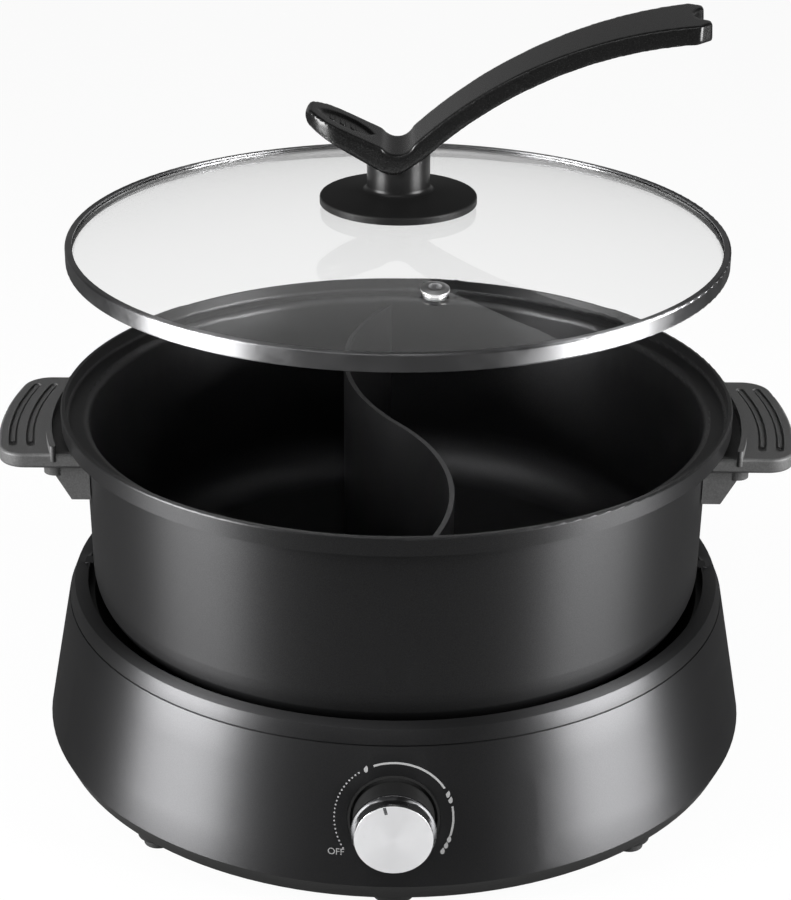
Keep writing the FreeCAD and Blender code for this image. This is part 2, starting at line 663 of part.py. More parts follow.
def fuse_strap():
    inner = FUSE_R + FIT_GAP
    outer = inner + STRAP_SHEET
    axis_z = PLATE_LOW_Z - FUSE_R
    ear_low_z = PLATE_LOW_Z - STRAP_SHEET
    face = outline(
        upright,
        (FUSE_X - STRAP_HALF, PLATE_LOW_Z),
        (FUSE_X - inner, PLATE_LOW_Z),
        (FUSE_X - inner, axis_z),
        ((FUSE_X, axis_z - inner), (FUSE_X + inner, axis_z)),
        (FUSE_X + inner, PLATE_LOW_Z),
        (FUSE_X + STRAP_HALF, PLATE_LOW_Z),
        (FUSE_X + STRAP_HALF, ear_low_z),
        (FUSE_X + outer, ear_low_z),
        (FUSE_X + outer, axis_z),
        ((FUSE_X, axis_z - outer), (FUSE_X - outer, axis_z)),
        (FUSE_X - outer, ear_low_z),
        (FUSE_X - STRAP_HALF, ear_low_z),
    )
    strap = face.extrude(vec(0, STRAP_WIDTH, 0))
    strap.translate(vec(0, -STRAP_WIDTH / 2, 0))
    return strap


def terminal_block():
    body = block(TERMINAL_SIZE, TERMINAL_PLACE, COVER_TOP_Z)
    pitch = TERMINAL_SIZE[0] / TERMINAL_WAYS
    hole_z = COVER_TOP_Z + TERMINAL_SIZE[2] / 2
    top_z = COVER_TOP_Z + TERMINAL_SIZE[2]
    front_y = TERMINAL_PLACE[1] - TERMINAL_SIZE[1] / 2
    cuts = []
    for way in range(TERMINAL_WAYS):
        x = TERMINAL_PLACE[0] + (way - (TERMINAL_WAYS - 1) / 2) * pitch
        cuts.append(Part.makeCylinder(TERMINAL_HOLE_R, TERMINAL_SIZE[1], vec(x, front_y, hole_z), Y_AXIS))
        cuts.append(rod(TERMINAL_HOLE_R, hole_z, top_z, x, TERMINAL_PLACE[1]))
    return body.cut(cuts)


# Dial, knob and power regulator, drawn along Z and then turned to face the front

def dial_bezel():
    cup = rod(DIAL_R, DIAL_BACK_Y, KNOB_FACE_Y)
    cup = cup.cut(rod(DIAL_R - DIAL_WALL, DIAL_FLOOR_Y, KNOB_FACE_Y))
    cup = cup.cut(rod(REGULATOR_BUSH_R + CORE_GAP, DIAL_BACK_Y, DIAL_FLOOR_Y))
    return facing_front(cup).common(housing_core())


def knob_face():
    inner_r = KNOB_SKIRT_R - KNOB_SHELL
    bevel_y = KNOB_FACE_Y - KNOB_BEVEL
    rear_y = bevel_y - KNOB_SKIRT
    face = turned(
        (0, KNOB_FACE_Y),
        (KNOB_FACE_R, KNOB_FACE_Y),
        (KNOB_SKIRT_R, bevel_y),
        (KNOB_SKIRT_R, rear_y),
        (inner_r, rear_y),
        (inner_r, bevel_y),
        (KNOB_FACE_R - KNOB_SHELL, KNOB_FACE_Y - KNOB_SHELL),
        (0, KNOB_FACE_Y - KNOB_SHELL),
    )
    width, length, depth = NOTCH_SIZE
    notch = Part.makeBox(width, length, depth, vec(-width / 2, KNOB_FACE_R - length, KNOB_FACE_Y - depth))
    notch.rotate(ORIGIN, Z_AXIS, NOTCH_DEG)
    return facing_front(face.cut(notch))


def clip_flat_y():
    """How far the clip's near face lies from the knob's axis, on the shaft's flat."""
    return SHAFT_R - SHAFT_FLAT + FIT_GAP


def knob_body():
    seat_r = KNOB_SKIRT_R - KNOB_SHELL - FIT_GAP
    bevel_y = KNOB_FACE_Y - KNOB_BEVEL
    shoulder_y = bevel_y - KNOB_SKIRT - FIT_GAP
    front_r = KNOB_FACE_R - KNOB_SHELL - FIT_GAP
    inner_r = KNOB_BARREL_R - KNOB_WALL
    body = turned(
        (0, KNOB_FRONT_Y),
        (front_r, KNOB_FRONT_Y),
        (seat_r, bevel_y - FIT_GAP),
        (seat_r, shoulder_y),
        (KNOB_BARREL_R, shoulder_y),
        (KNOB_BARREL_R, KNOB_REAR_Y),
        (inner_r, KNOB_REAR_Y),
        (inner_r, KNOB_INNER_Y),
        (KNOB_HUB_R, KNOB_INNER_Y),
        (KNOB_HUB_R, KNOB_HUB_Y),
        (0, KNOB_HUB_Y),
    )
    bore_r = SHAFT_R + FIT_GAP
    bore = rod(bore_r, KNOB_HUB_Y, KNOB_INNER_Y)
    flat_y = clip_flat_y() + CLIP_SIZE[1] + FIT_GAP
    spare = block((2 * bore_r, bore_r, KNOB_INNER_Y - KNOB_HUB_Y), (0, flat_y + bore_r / 2), KNOB_HUB_Y)
    return facing_front(body.cut(bore.cut(spare)))


def knob_clip():
    return facing_front(block(CLIP_SIZE, (0, clip_flat_y() + CLIP_SIZE[1] / 2), KNOB_HUB_Y))


def regulator_shaft():
    shaft = rod(SHAFT_R, SHAFT_REAR_Y, SHAFT_FRONT_Y)
    flat_size = (2 * SHAFT_R, SHAFT_FLAT, SHAFT_FRONT_Y - KNOB_HUB_Y)
    return facing_front(shaft.cut(block(flat_size, (0, SHAFT_R - SHAFT_FLAT / 2), KNOB_HUB_Y)))


def regulator_body():
    body = block(REGULATOR_SIZE, (0, 0), REGULATOR_FRONT_Y - REGULATOR_SIZE[2])
    body = body.fuse(rod(REGULATOR_BUSH_R, REGULATOR_FRONT_Y, NUT_FRONT_Y + BUSH_PROUD))
    bore = rod(SHAFT_R + RUN_GAP, SHAFT_REAR_Y - CLEAR_GAP, NUT_FRONT_Y + BUSH_PROUD)
    return facing_front(body.cut(bore))


def regulator_tabs():
    rear_y = REGULATOR_FRONT_Y - REGULATOR_SIZE[2]
    pitch = REGULATOR_SIZE[0] / REGULATOR_TABS
    tabs = []
    for index in range(REGULATOR_TABS):
        x = (index - (REGULATOR_TABS - 1) / 2) * pitch
        tabs.append(facing_front(block((TAB[1], TAB[0], TAB[2]), (x, 0), rear_y - TAB[2])))
    return tabs


def regulator_nut():
    corners = [polar(NUT_R, index * FULL_TURN / NUT_SIDES, DIAL_FLOOR_Y) for index in range(NUT_SIDES)]
    nut = Part.Face(Part.makePolygon(corners + corners[:1])).extrude(vec(0, 0, NUT_THICK))
    return facing_front(nut.cut(rod(REGULATOR_BUSH_R + CORE_GAP, DIAL_FLOOR_Y, NUT_FRONT_Y)))


def regulator_bracket():
    width = 2 * REGULATOR_BRACKET_HALF
    plate_size = (width, BRACKET_PLATE, DIAL_Z + REGULATOR_BRACKET_RISE - COVER_TOP_Z)
    foot_size = (width, REGULATOR_BRACKET_FOOT, BRACKET_PLATE)
    plate = block(plate_size, (0, plate_size[1] / 2 - DIAL_BACK_Y), COVER_TOP_Z)
    foot = block(foot_size, (0, foot_size[1] / 2 - DIAL_BACK_Y), COVER_TOP_Z)
    bush = facing_front(rod(REGULATOR_BUSH_R + CORE_GAP, REGULATOR_FRONT_Y, DIAL_BACK_Y))
    return plate.fuse(foot).cut(bush)


# Power inlet

def inlet_block(grow):
    """The inlet's outer block, or the opening for it with a gap all round."""
    width, depth, height = INLET_SIZE
    size = (width + 2 * grow, depth + grow, height + 2 * grow)
    body = block(size, (0, INLET_FACE_Y + grow - size[1] / 2), INLET_LOW_Z - grow)
    return rounded(body, INLET_CORNER_R + grow, along_y)


def along_y(edge):
    return abs(edge.tangentAt(edge.FirstParameter).y) > 1 - SAME_POINT


def pin_blocks(grow):
    """The inlet's three blades, or the slots they are pressed into."""
    width, length, height = PIN_SIZE
    size = (width + 2 * grow, length, height + 2 * grow)
    places = [(-PIN_PITCH, -PIN_DROP), (0.0, PIN_RISE), (PIN_PITCH, -PIN_DROP)]
    return [block(size, (x, PIN_REAR_Y + length / 2), INLET_Z + rise - size[2] / 2) for x, rise in places]


def power_inlet():
    well = block(INLET_WELL, (0, INLET_FACE_Y - INLET_WELL[1] / 2), INLET_Z - INLET_WELL[2] / 2)
    ears = [block(INLET_EAR, (x, INLET_EAR_Y), INLET_LOW_Z) for x in (-INLET_EAR_X, INLET_EAR_X)]
    holes = [rod(SCREW_SHANK_R + CORE_GAP, INLET_LOW_Z, INLET_LOW_Z + INLET_EAR[2], x, INLET_EAR_Y)
             for x in (-INLET_EAR_X, INLET_EAR_X)]
    return inlet_block(0).fuse(ears).cut([well] + holes + pin_blocks(FIT_GAP))


def inlet_screws():
    seat_z = INLET_LOW_Z + INLET_EAR[2]
    low_z = INLET_LOW_Z - INLET_SCREW_REACH
    screws = []
    for x in (-INLET_EAR_X, INLET_EAR_X):
        head = rod(SCREW_HEAD_R, seat_z, seat_z + SCREW_HEAD, x, INLET_EAR_Y)
        screws.append(head.fuse(rod(SCREW_SHANK_R, low_z, seat_z + SCREW_HEAD, x, INLET_EAR_Y)))
    return screws


# Pot

def pot_inside(grow):
    """The pot's cavity up to the ledge, or one grown or shrunk by a gap."""
    corner_r = POT_CORNER_R - POT_WALL + grow
    turn = corner_r * math.sqrt(0.5)
    floor_z = POT_FLOOR_Z + POT_WALL - grow
    return turned(
        (0, floor_z),
        (POT_CORNER_CENTRE_R, floor_z),
        ((POT_CORNER_CENTRE_R + turn, POT_CORNER_Z - turn), (POT_LOW_R - POT_WALL + grow, POT_CORNER_Z)),
        (POT_TOP_R - POT_WALL + grow, LEDGE_Z),
        (0, LEDGE_Z),
    )


def pot_body():
    turn = POT_CORNER_R * math.sqrt(0.5)
    lip_r = RIM_R - RIM_LIP
    inner_r = POT_TOP_R - POT_WALL
    sag = 1 - math.sqrt(0.5)
    outside = turned(
        (0, POT_FLOOR_Z),
        (POT_CORNER_CENTRE_R, POT_FLOOR_Z),
        ((POT_CORNER_CENTRE_R + turn, POT_CORNER_Z - turn), (POT_LOW_R, POT_CORNER_Z)),
        (POT_TOP_R, RIM_LOW_Z),
        (RIM_R, RIM_LOW_Z),
        (RIM_R, RIM_TOP_Z - RIM_SOFTEN),
        ((RIM_R - RIM_SOFTEN * sag, RIM_TOP_Z - RIM_SOFTEN * sag), (RIM_R - RIM_SOFTEN, RIM_TOP_Z)),
        (lip_r, RIM_TOP_Z),
        (lip_r, LEDGE_Z + LIP_SOFTEN),
        ((lip_r - LIP_SOFTEN * sag, LEDGE_Z + LIP_SOFTEN * sag), (lip_r - LIP_SOFTEN, LEDGE_Z)),
        (inner_r + LEDGE_SOFTEN, LEDGE_Z),
        ((inner_r + LEDGE_SOFTEN * sag, LEDGE_Z - LEDGE_SOFTEN * sag), (inner_r, LEDGE_Z - LEDGE_SOFTEN)),
        (0, LEDGE_Z - LEDGE_SOFTEN),
    )
    return outside.cut(pot_inside(0))


def bend(point, centre, radius, shift):
    """A point moved sideways off an arc, whose radius is signed by its side."""
    share = 1 - shift / radius
    return (centre[0] + (point[0] - centre[0]) * share, centre[1] + (point[1] - centre[1]) * share)


def divider_arc(end):
    """Centre, signed radius and middle of the arc that leaves the crossing for an end."""
    angle = math.radians(DIVIDER_CROSS_DEG)
    side = (-math.sin(angle), math.cos(angle))
    reach = (end[0] - DIVIDER_CROSS[0], end[1] - DIVIDER_CROSS[1])
    radius = (reach[0] ** 2 + reach[1] ** 2) / (2 * (reach[0] * side[0] + reach[1] * side[1]))
    centre = (DIVIDER_CROSS[0] + side[0] * radius, DIVIDER_CROSS[1] + side[1] * radius)
    chord = ((end[0] + DIVIDER_CROSS[0]) / 2 - centre[0], (end[1] + DIVIDER_CROSS[1]) / 2 - centre[1])
    stretch = abs(radius) / math.hypot(*chord)
    return centre, radius, (centre[0] + chord[0] * stretch, centre[1] + chord[1] * stretch)


def pot_divider():
    half = DIVIDER_THICK / 2
    back_centre, back_r, back_middle = divider_arc(DIVIDER_BACK)
    front_centre, front_r, front_middle = divider_arc(DIVIDER_FRONT)
    face = outline(
        level,
        bend(DIVIDER_BACK, back_centre, back_r, half),
        (bend(back_middle, back_centre, back_r, half), bend(DIVIDER_CROSS, back_centre, back_r, half)),
        (bend(front_middle, front_centre, front_r, half), bend(DIVIDER_FRONT, front_centre, front_r, half)),
        bend(DIVIDER_FRONT, front_centre, front_r, -half),
        (bend(front_middle, front_centre, front_r, -half),
         bend(DIVIDER_CROSS, front_centre, front_r, -half)),
        (bend(back_middle, back_centre, back_r, -half), bend(DIVIDER_BACK, back_centre, back_r, -half)),
    )
    return face.extrude(vec(0, 0, DIVIDER_TOP_Z)).common(pot_inside(-FIT_GAP))


# Side handles

def bracket_blank(grow):
    """The bracket's two arms, or the room for them in the handle."""
    arm_top = HANDLE_TOP_Z - TONGUE_DROP + grow
    arm_low = arm_top - BRACKET_SHEET - 2 * grow
    foot_z = HANDLE_TOP_Z - BRACKET_DROP - grow
    upright_r = HANDLE_INNER_R + BRACKET_SHEET + grow
    upright_arm = arc_bar(HANDLE_INNER_R, upright_r, BRACKET_HALF + grow, foot_z, arm_top)
    tongue = arc_bar(HANDLE_INNER_R, TONGUE_REACH + grow, TONGUE_HALF + grow, arm_low, arm_top)
    return upright_arm.fuse(tongue)


def handle_screw_places():
    return [polar(HANDLE_BOSS_CENTRE_R, side * HANDLE_BOSS_DEG) for side in (-1, 1)]


def handle_bracket():
    top_z = HANDLE_TOP_Z - TONGUE_DROP
    holes = [rod(SCREW_SHANK_R + CORE_GAP, top_z - BRACKET_SHEET, top_z, place.x, place.y)
             for place in handle_screw_places()]
    return bracket_blank(0).cut(holes)


def gusset(y):
    """A triangular rib between the handle's plate and its shoe."""
    foot_z = HANDLE_TOP_Z - SHOE_DROP
    face = outline(
        upright,
        (0, foot_z),
        (HANDLE_INNER_R + SHOE_WALL, foot_z),
        (GUSSET_REACH, HANDLE_LOW_Z),
        (0, HANDLE_LOW_Z),
    )
    rib = face.extrude(vec(0, GUSSET_THICK, 0))
    rib.translate(vec(0, y - GUSSET_THICK / 2, 0))
    return rib


def groove_cuts():
    """The grooves in the handle's top, each with a low bar left standing in it."""
    low_z = HANDLE_TOP_Z - GROOVE_DEPTH
    cuts = []
    for radius in GROOVE_RADII:
        groove = round_bar(radius, GROOVE_WIDTH, GROOVE_HALF, GROOVE_HALF, low_z, HANDLE_TOP_Z)
        bar = round_bar(radius, GROOVE_BAR, GROOVE_HALF - GROOVE_BAR_SHORT, GROOVE_HALF,
                        low_z, low_z + GROOVE_BAR_RISE)
        cuts.append(groove.cut(bar))
    return cuts


def outer_corner(edge):
    """Whether an edge is upright at one of the handle's outer corners."""
    middle = edge.CenterOfMass
    is_upright = abs(edge.tangentAt(edge.FirstParameter).z) > 1 - SAME_POINT
    return is_upright and math.hypot(middle.x, middle.y) > TONGUE_REACH


def outer_rim(edge):
    """Whether an edge runs level round the handle's outside."""
    points = [vertex.Point for vertex in edge.Vertexes]
    is_level = max(point.z for point in points) - min(point.z for point in points) < SAME_POINT
    return is_level and max(math.hypot(point.x, point.y) for point in points) > TONGUE_REACH


def side_handle():
    plate = arc_bar(HANDLE_INNER_R, HANDLE_R, HANDLE_HALF, HANDLE_LOW_Z, HANDLE_TOP_Z)
    plate = rounded(plate, HANDLE_CORNER_R, outer_corner)
    plate = rounded(plate, HANDLE_SOFTEN, outer_rim)
    fin = round_bar(FIN_INNER_R + FIN_THICK / 2, FIN_THICK, FIN_HALF - FIN_THICK, FIN_HALF - FIN_THICK,
                    HANDLE_TOP_Z - HANDLE_THICK / 2, HANDLE_TOP_Z + FIN_RISE)
    shoe_z = HANDLE_TOP_Z - SHOE_DROP
    shoe = arc_bar(HANDLE_INNER_R, HANDLE_INNER_R + SHOE_WALL, SHOE_HALF, shoe_z, HANDLE_LOW_Z)
    pitch = (2 * SHOE_HALF - GUSSET_THICK) / (GUSSET_COUNT - 1)
    gussets = [gusset(GUSSET_THICK / 2 - SHOE_HALF + index * pitch) for index in range(GUSSET_COUNT)]
    boss_z = HANDLE_LOW_Z - HANDLE_BOSS_DROP
    bosses = [rod(HANDLE_BOSS_R, boss_z, HANDLE_LOW_Z, place.x, place.y)
              for place in handle_screw_places()]
    cuts = groove_cuts() + [bracket_blank(FIT_GAP), rod(HANDLE_INNER_R, shoe_z, HANDLE_TOP_Z)]
    for place in handle_screw_places():
        cuts.append(rod(SCREW_SHANK_R + CORE_GAP, boss_z, HANDLE_TOP_Z - TONGUE_DROP, place.x, place.y))
        cuts.append(rod(SCREW_HEAD_R + CLEAR_GAP, boss_z, boss_z + HANDLE_SCREW_SINK, place.x, place.y))
    return plate.fuse([fin, shoe] + gussets + bosses).cut(cuts)


def handle_screws():
    seat_z = HANDLE_LOW_Z - HANDLE_BOSS_DROP + HANDLE_SCREW_SINK
    reach = HANDLE_TOP_Z - TONGUE_DROP - seat_z
    right = [screw(place.x, place.y, seat_z, reach) for place in handle_screw_places()]
    return right + [mirrored(one) for one in right]


# Lid

def dome_z(radius, below=0.0):
    """Height of the glass's upper face, or of a face parallel to it and lower."""
    return GLASS_CROWN_Z - GLASS_SPHERE_R + math.sqrt((GLASS_SPHERE_R - below) ** 2 - radius ** 2)


def dome_arc(radius, end, below=0.0):
    """An outline's arc step along the dome from one radius to another."""
    middle = (radius + end) / 2
    return ((middle, dome_z(middle, below)), (end, dome_z(end, below)))


def at_vent(shape):
    """Moves a shape drawn on the Z axis, with the glass's top at 0, to the vent's place."""
    shape.rotate(ORIGIN, Y_AXIS, math.degrees(math.asin(VENT_HOLE_CENTRE_R / GLASS_SPHERE_R)))
    shape.translate(vec(VENT_HOLE_CENTRE_R, 0, dome_z(VENT_HOLE_CENTRE_R)))
    shape.rotate(ORIGIN, Z_AXIS, VENT_HOLE_DEG)
    return shape


def lid_glass():
    low_z = dome_z(GLASS_FLAT_R, GLASS_THICK)
    glass = turned(
        (GLASS_HOLE_R, dome_z(GLASS_HOLE_R)),
        dome_arc(GLASS_HOLE_R, GLASS_FLAT_R),
        (GLASS_EDGE_R, GLASS_EDGE_Z),
        (GLASS_EDGE_R, low_z),
        (GLASS_FLAT_R, low_z),
        dome_arc(GLASS_FLAT_R, GLASS_HOLE_R, GLASS_THICK),
    )
    return glass.cut(at_vent(rod(VENT_TUBE_R + FIT_GAP, -2 * GLASS_THICK, GLASS_THICK)))


def lid_band():
    sag = BAND_SOFTEN * (1 - math.sqrt(0.5))
    inner_r = BAND_R - BAND_SHEET
    return turned(
        (BAND_R - BAND_TOP_LIP, BAND_TOP_Z),
        (BAND_R - BAND_SOFTEN, BAND_TOP_Z),
        ((BAND_R - sag, BAND_TOP_Z - sag), (BAND_R, BAND_TOP_Z - BAND_SOFTEN)),
        (BAND_R, BAND_LOW_Z + BAND_SOFTEN),
        ((BAND_R - sag, BAND_LOW_Z + sag), (BAND_R - BAND_SOFTEN, BAND_LOW_Z)),
        (BAND_R - BAND_LOW_LIP, BAND_LOW_Z),
        (BAND_R - BAND_LOW_LIP, BAND_LOW_Z + BAND_SHEET),
        (inner_r, BAND_LOW_Z + BAND_SHEET),
        (inner_r, BAND_TOP_Z - BAND_SHEET),
        (BAND_R - BAND_TOP_LIP, BAND_TOP_Z - BAND_SHEET),
    )


def lid_seal():
    low_z = BAND_LOW_Z + BAND_SHEET + FIT_GAP
    high_z = dome_z(GLASS_FLAT_R, GLASS_THICK) - FIT_GAP
    return rod(GLASS_EDGE_R, low_z, high_z).cut(rod(BAND_R - BAND_LOW_LIP, low_z, high_z))


def steam_vent():
    tail_r = (VENT_TUBE_R + VENT_HEAD_R) / 2
    tail_z = -GLASS_THICK - FIT_GAP
    vent = turned(
        (VENT_BORE_R, VENT_HEAD),
        (VENT_TUBE_R, VENT_HEAD),
        (VENT_HEAD_R, VENT_HEAD / 2),
        (VENT_HEAD_R, FIT_GAP),
        (VENT_TUBE_R, FIT_GAP),
        (VENT_TUBE_R, tail_z),
        (tail_r, tail_z),
        (tail_r, tail_z - VENT_HEAD / 2),
        (VENT_BORE_R, tail_z - VENT_HEAD / 2),
    )
    return at_vent(vent)


def lid_gasket():
    hole_r = LID_SCREW_R + CORE_GAP
    return turned(
        (hole_r, dome_z(hole_r, -FIT_GAP)),
        dome_arc(hole_r, GASKET_R, -FIT_GAP),
        (GASKET_R, dome_z(GASKET_R, -GASKET_THICK)),
        dome_arc(GASKET_R, hole_r, -GASKET_THICK),
    )


def lid_flange():
    hole_r = LID_SCREW_R + CORE_GAP
    under = -GASKET_THICK - FIT_GAP
    edge_z = dome_z(FLANGE_R, under) + FLANGE_EDGE
    cone_z = edge_z + FLANGE_CONE
    sag = 1 - math.sqrt(0.5)
    flange = turned(
        (hole_r, dome_z(hole_r, under)),
        dome_arc(hole_r, FLANGE_R, under),
        (FLANGE_R, edge_z - FLANGE_SOFTEN),
        ((FLANGE_R - FLANGE_SOFTEN * sag, edge_z - FLANGE_SOFTEN * sag), (FLANGE_R - FLANGE_SOFTEN, edge_z)),
        (NECK_R + NECK_FOOT_R, cone_z),
        ((NECK_R + NECK_FOOT_R * sag, cone_z + NECK_FOOT_R * sag), (NECK_R, cone_z + NECK_FOOT_R)),
        (NECK_R, BAND_TOP_Z + ARM_LOW_START[1]),
        (hole_r, BAND_TOP_Z + ARM_LOW_START[1]),
    )
    seat = grip_blank()
    seat.translate(vec(0, 0, -FIT_GAP))
    return min(flange.cut(seat).Solids, key=lowest_z)


def lowest_z(solid):
    return solid.BoundBox.ZMin


def on_lid(point):
    """A point of the handle's side outline, raised to the lid."""
    return (point[0], point[1] + BAND_TOP_Z)


def grip_blank():
    """The lid handle's side outline crossed with its plan outline."""
    side = outline(
        upright,
        on_lid(PADDLE_TOP),
        on_lid(VALLEY_START),
        (on_lid(VALLEY_BOTTOM), on_lid(VALLEY_END)),
        (on_lid(ARM_TOP_MIDDLE), on_lid(ARM_TOP_END)),
        on_lid(ARM_LOW_END),
        (on_lid(ARM_LOW_MIDDLE), on_lid(ARM_LOW_START)),
        on_lid(NOSE_FRONT),
        (on_lid(NOSE_BOTTOM), on_lid(NOSE_BACK)),
        on_lid(PADDLE_LOW),
        (on_lid(PADDLE_TIP), on_lid(PADDLE_TOP)),
    ).extrude(vec(0, 2 * ARM_TIP_HALF, 0))
    side.translate(vec(0, -ARM_TIP_HALF, 0))
    tip_x = ARM_LOW_END[0]
    paddle_x = PADDLE_TIP[0] + PADDLE_HALF
    plan = outline(
        level,
        (paddle_x, -PADDLE_HALF),
        (0.0, -VALLEY_HALF),
        ((ARM_TOP_MIDDLE[0], -ARM_MIDDLE_HALF), (tip_x - TIP_CORNER, -ARM_TIP_HALF)),
        (tip_x, TIP_CORNER - ARM_TIP_HALF),
        (tip_x, -TIP_NOTCH_HALF),
        ((tip_x - TIP_NOTCH_DEPTH, 0.0), (tip_x, TIP_NOTCH_HALF)),
        (tip_x, ARM_TIP_HALF - TIP_CORNER),
        (tip_x - TIP_CORNER, ARM_TIP_HALF),
        ((ARM_TOP_MIDDLE[0], ARM_MIDDLE_HALF), (0.0, VALLEY_HALF)),
        (paddle_x, PADDLE_HALF),
        ((PADDLE_TIP[0], 0.0), (paddle_x, -PADDLE_HALF)),
    ).extrude(vec(0, 0, BEYOND))
    return side.common(plan)


def thumb_recess():
    """A lens-shaped cutter that lies in the paddle's sloping top."""
    half = THUMB_LENGTH / 2
    lens = outline(level, (-half, 0.0), ((0.0, -THUMB_HALF), (half, 0.0)), ((0.0, THUMB_HALF), (-half, 0.0)))
    cutter = lens.extrude(vec(0, 0, BEYOND))
    cutter.translate(vec(0, 0, -THUMB_DEPTH))
    run = VALLEY_START[0] - PADDLE_TOP[0]
    fall = PADDLE_TOP[1] - VALLEY_START[1]
    cutter.rotate(ORIGIN, Y_AXIS, math.degrees(math.atan2(fall, run)))
    cutter.translate(vec(PADDLE_TOP[0] + run / 2, 0, BAND_TOP_Z + PADDLE_TOP[1] - fall / 2))
    return cutter


def lid_handle():
    bore_z = BAND_TOP_Z + NOSE_BOTTOM[1] + LID_SCREW_IN_GRIP
    bore = rod(LID_SCREW_R + CORE_GAP, BAND_TOP_Z, bore_z + FIT_GAP)
    return grip_blank().cut([thumb_recess(), bore])


def lid_washer():
    high_z = dome_z(GLASS_HOLE_R, GLASS_THICK) - FIT_GAP
    low_z = high_z - WASHER_THICK
    return rod(WASHER_R, low_z, high_z).cut(rod(LID_SCREW_R + CORE_GAP, low_z, high_z))


def lid_screw():
    seat_z = dome_z(GLASS_HOLE_R, GLASS_THICK) - FIT_GAP - WASHER_THICK
    head = rod(LID_SCREW_HEAD_R, seat_z - LID_SCREW_HEAD, seat_z)
    return head.fuse(rod(LID_SCREW_R, seat_z, BAND_TOP_Z + NOSE_BOTTOM[1] + LID_SCREW_IN_GRIP))


right_handle = side_handle()
right_bracket = handle_bracket()

save("base_housing", base_housing())
save("base_ring", base_ring())
save("well_pan", well_pan())
save("bottom_cover", bottom_cover())
save("foot_pads", *foot_pads())
save("cover_screws", *cover_screws())
save("heating_plate", heating_plate())
save("heating_element", heating_element())
save("heater_posts", *heater_posts())
save("thermal_cutout", thermal_cutout())
save("thermal_fuse", thermal_fuse())
save("fuse_strap", fuse_strap())
save("terminal_block", terminal_block())
save("dial_bezel", dial_bezel())
save("regulator_body", regulator_body())
save("regulator_tabs", *regulator_tabs())
save("regulator_nut", regulator_nut())
save("regulator_bracket", regulator_bracket())
save("regulator_shaft", regulator_shaft())
save("knob_body", knob_body())
save("knob_face", knob_face())
save("knob_clip", knob_clip())
save("power_inlet", power_inlet())
save("inlet_pins", *pin_blocks(0))
save("inlet_screws", *inlet_screws())
save("pot_body", pot_body())
save("pot_divider", pot_divider())
save("handle_right", right_handle)
save("handle_left", mirrored(right_handle))
save("handle_bracket_right", right_bracket)
save("handle_bracket_left", mirrored(right_bracket))
save("handle_screws", *handle_screws())
save("lid_glass", lid_glass())
save("lid_band", lid_band())
save("lid_seal", lid_seal())
save("steam_vent", steam_vent())
save("lid_gasket", lid_gasket())
save("lid_flange", lid_flange())
save("lid_handle", lid_handle())
save("lid_washer", lid_washer())
save("lid_screw", lid_screw())
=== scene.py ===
import json
import math

import bmesh
import bpy
from mathutils import Matrix, Vector
from mathutils.bvhtree import BVHTree


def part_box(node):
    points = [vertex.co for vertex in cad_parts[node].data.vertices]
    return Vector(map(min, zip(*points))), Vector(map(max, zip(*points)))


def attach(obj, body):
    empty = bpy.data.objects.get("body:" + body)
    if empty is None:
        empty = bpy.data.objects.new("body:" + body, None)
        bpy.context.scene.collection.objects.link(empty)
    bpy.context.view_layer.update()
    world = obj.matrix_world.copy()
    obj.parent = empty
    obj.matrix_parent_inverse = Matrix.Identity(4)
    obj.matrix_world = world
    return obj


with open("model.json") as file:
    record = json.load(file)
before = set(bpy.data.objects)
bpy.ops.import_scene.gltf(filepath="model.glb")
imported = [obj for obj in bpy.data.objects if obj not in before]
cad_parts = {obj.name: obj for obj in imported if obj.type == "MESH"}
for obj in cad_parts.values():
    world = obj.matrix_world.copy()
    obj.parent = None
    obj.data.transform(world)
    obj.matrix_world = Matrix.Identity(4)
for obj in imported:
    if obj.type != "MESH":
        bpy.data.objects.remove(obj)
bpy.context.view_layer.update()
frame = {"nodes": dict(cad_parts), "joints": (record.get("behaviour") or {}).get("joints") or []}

# Looks for the electric hot pot. Metres, in the part's own frame.

MM = 0.001

# The photograph's camera
CAMERA_X = -0.42 * MM
CAMERA_DISTANCE = 918.82 * MM
CAMERA_HEIGHT = 557.15 * MM
CAMERA_PITCH_DEG = 24.09
CAMERA_ROLL_DEG = 0.43
FOCAL_PIXELS = 2150.1
FRAME_PIXELS = 900
SENSOR_MM = 36.0

# Places read from the frame
KNOB_AXIS_Z = next(joint["pos_m"][2] for joint in frame["joints"] if joint["name"] == "knob_turn")
HOUSING_LOW, HOUSING_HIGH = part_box("base_housing")
KNOB_FRONT_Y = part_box("knob_face")[0][1]
POT_LOW, POT_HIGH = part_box("pot_body")

# Sizes of the housing's outer face and the pot's inside
HOUSING_LOW_R = HOUSING_HIGH[0]
HOUSING_TOP_R = 154.9 * MM
POT_INNER_R = 141.3 * MM
POT_LEDGE_DROP = 6.4 * MM

# Where one finish gives way to another
WALL_BLEND = 0.4 * MM
LEDGE_BLEND = 0.5 * MM
POT_FLOOR_SHELL = (1.2 * MM, 1.6 * MM)
NECK_EDGE_R = (15.0 * MM, 16.0 * MM)
KNOB_FACE_EDGE = (0.1 * MM, 0.2 * MM)

# Grain and fine turning: depths, and radians of ring for each metre of radius
GRAIN_DEPTH = 0.2 * MM
KNOB_RINGS = 26000.0
KNOB_RING_DEPTH = 0.02 * MM
PLATE_RINGS = 2600.0
PLATE_RING_DEPTH = 0.08 * MM

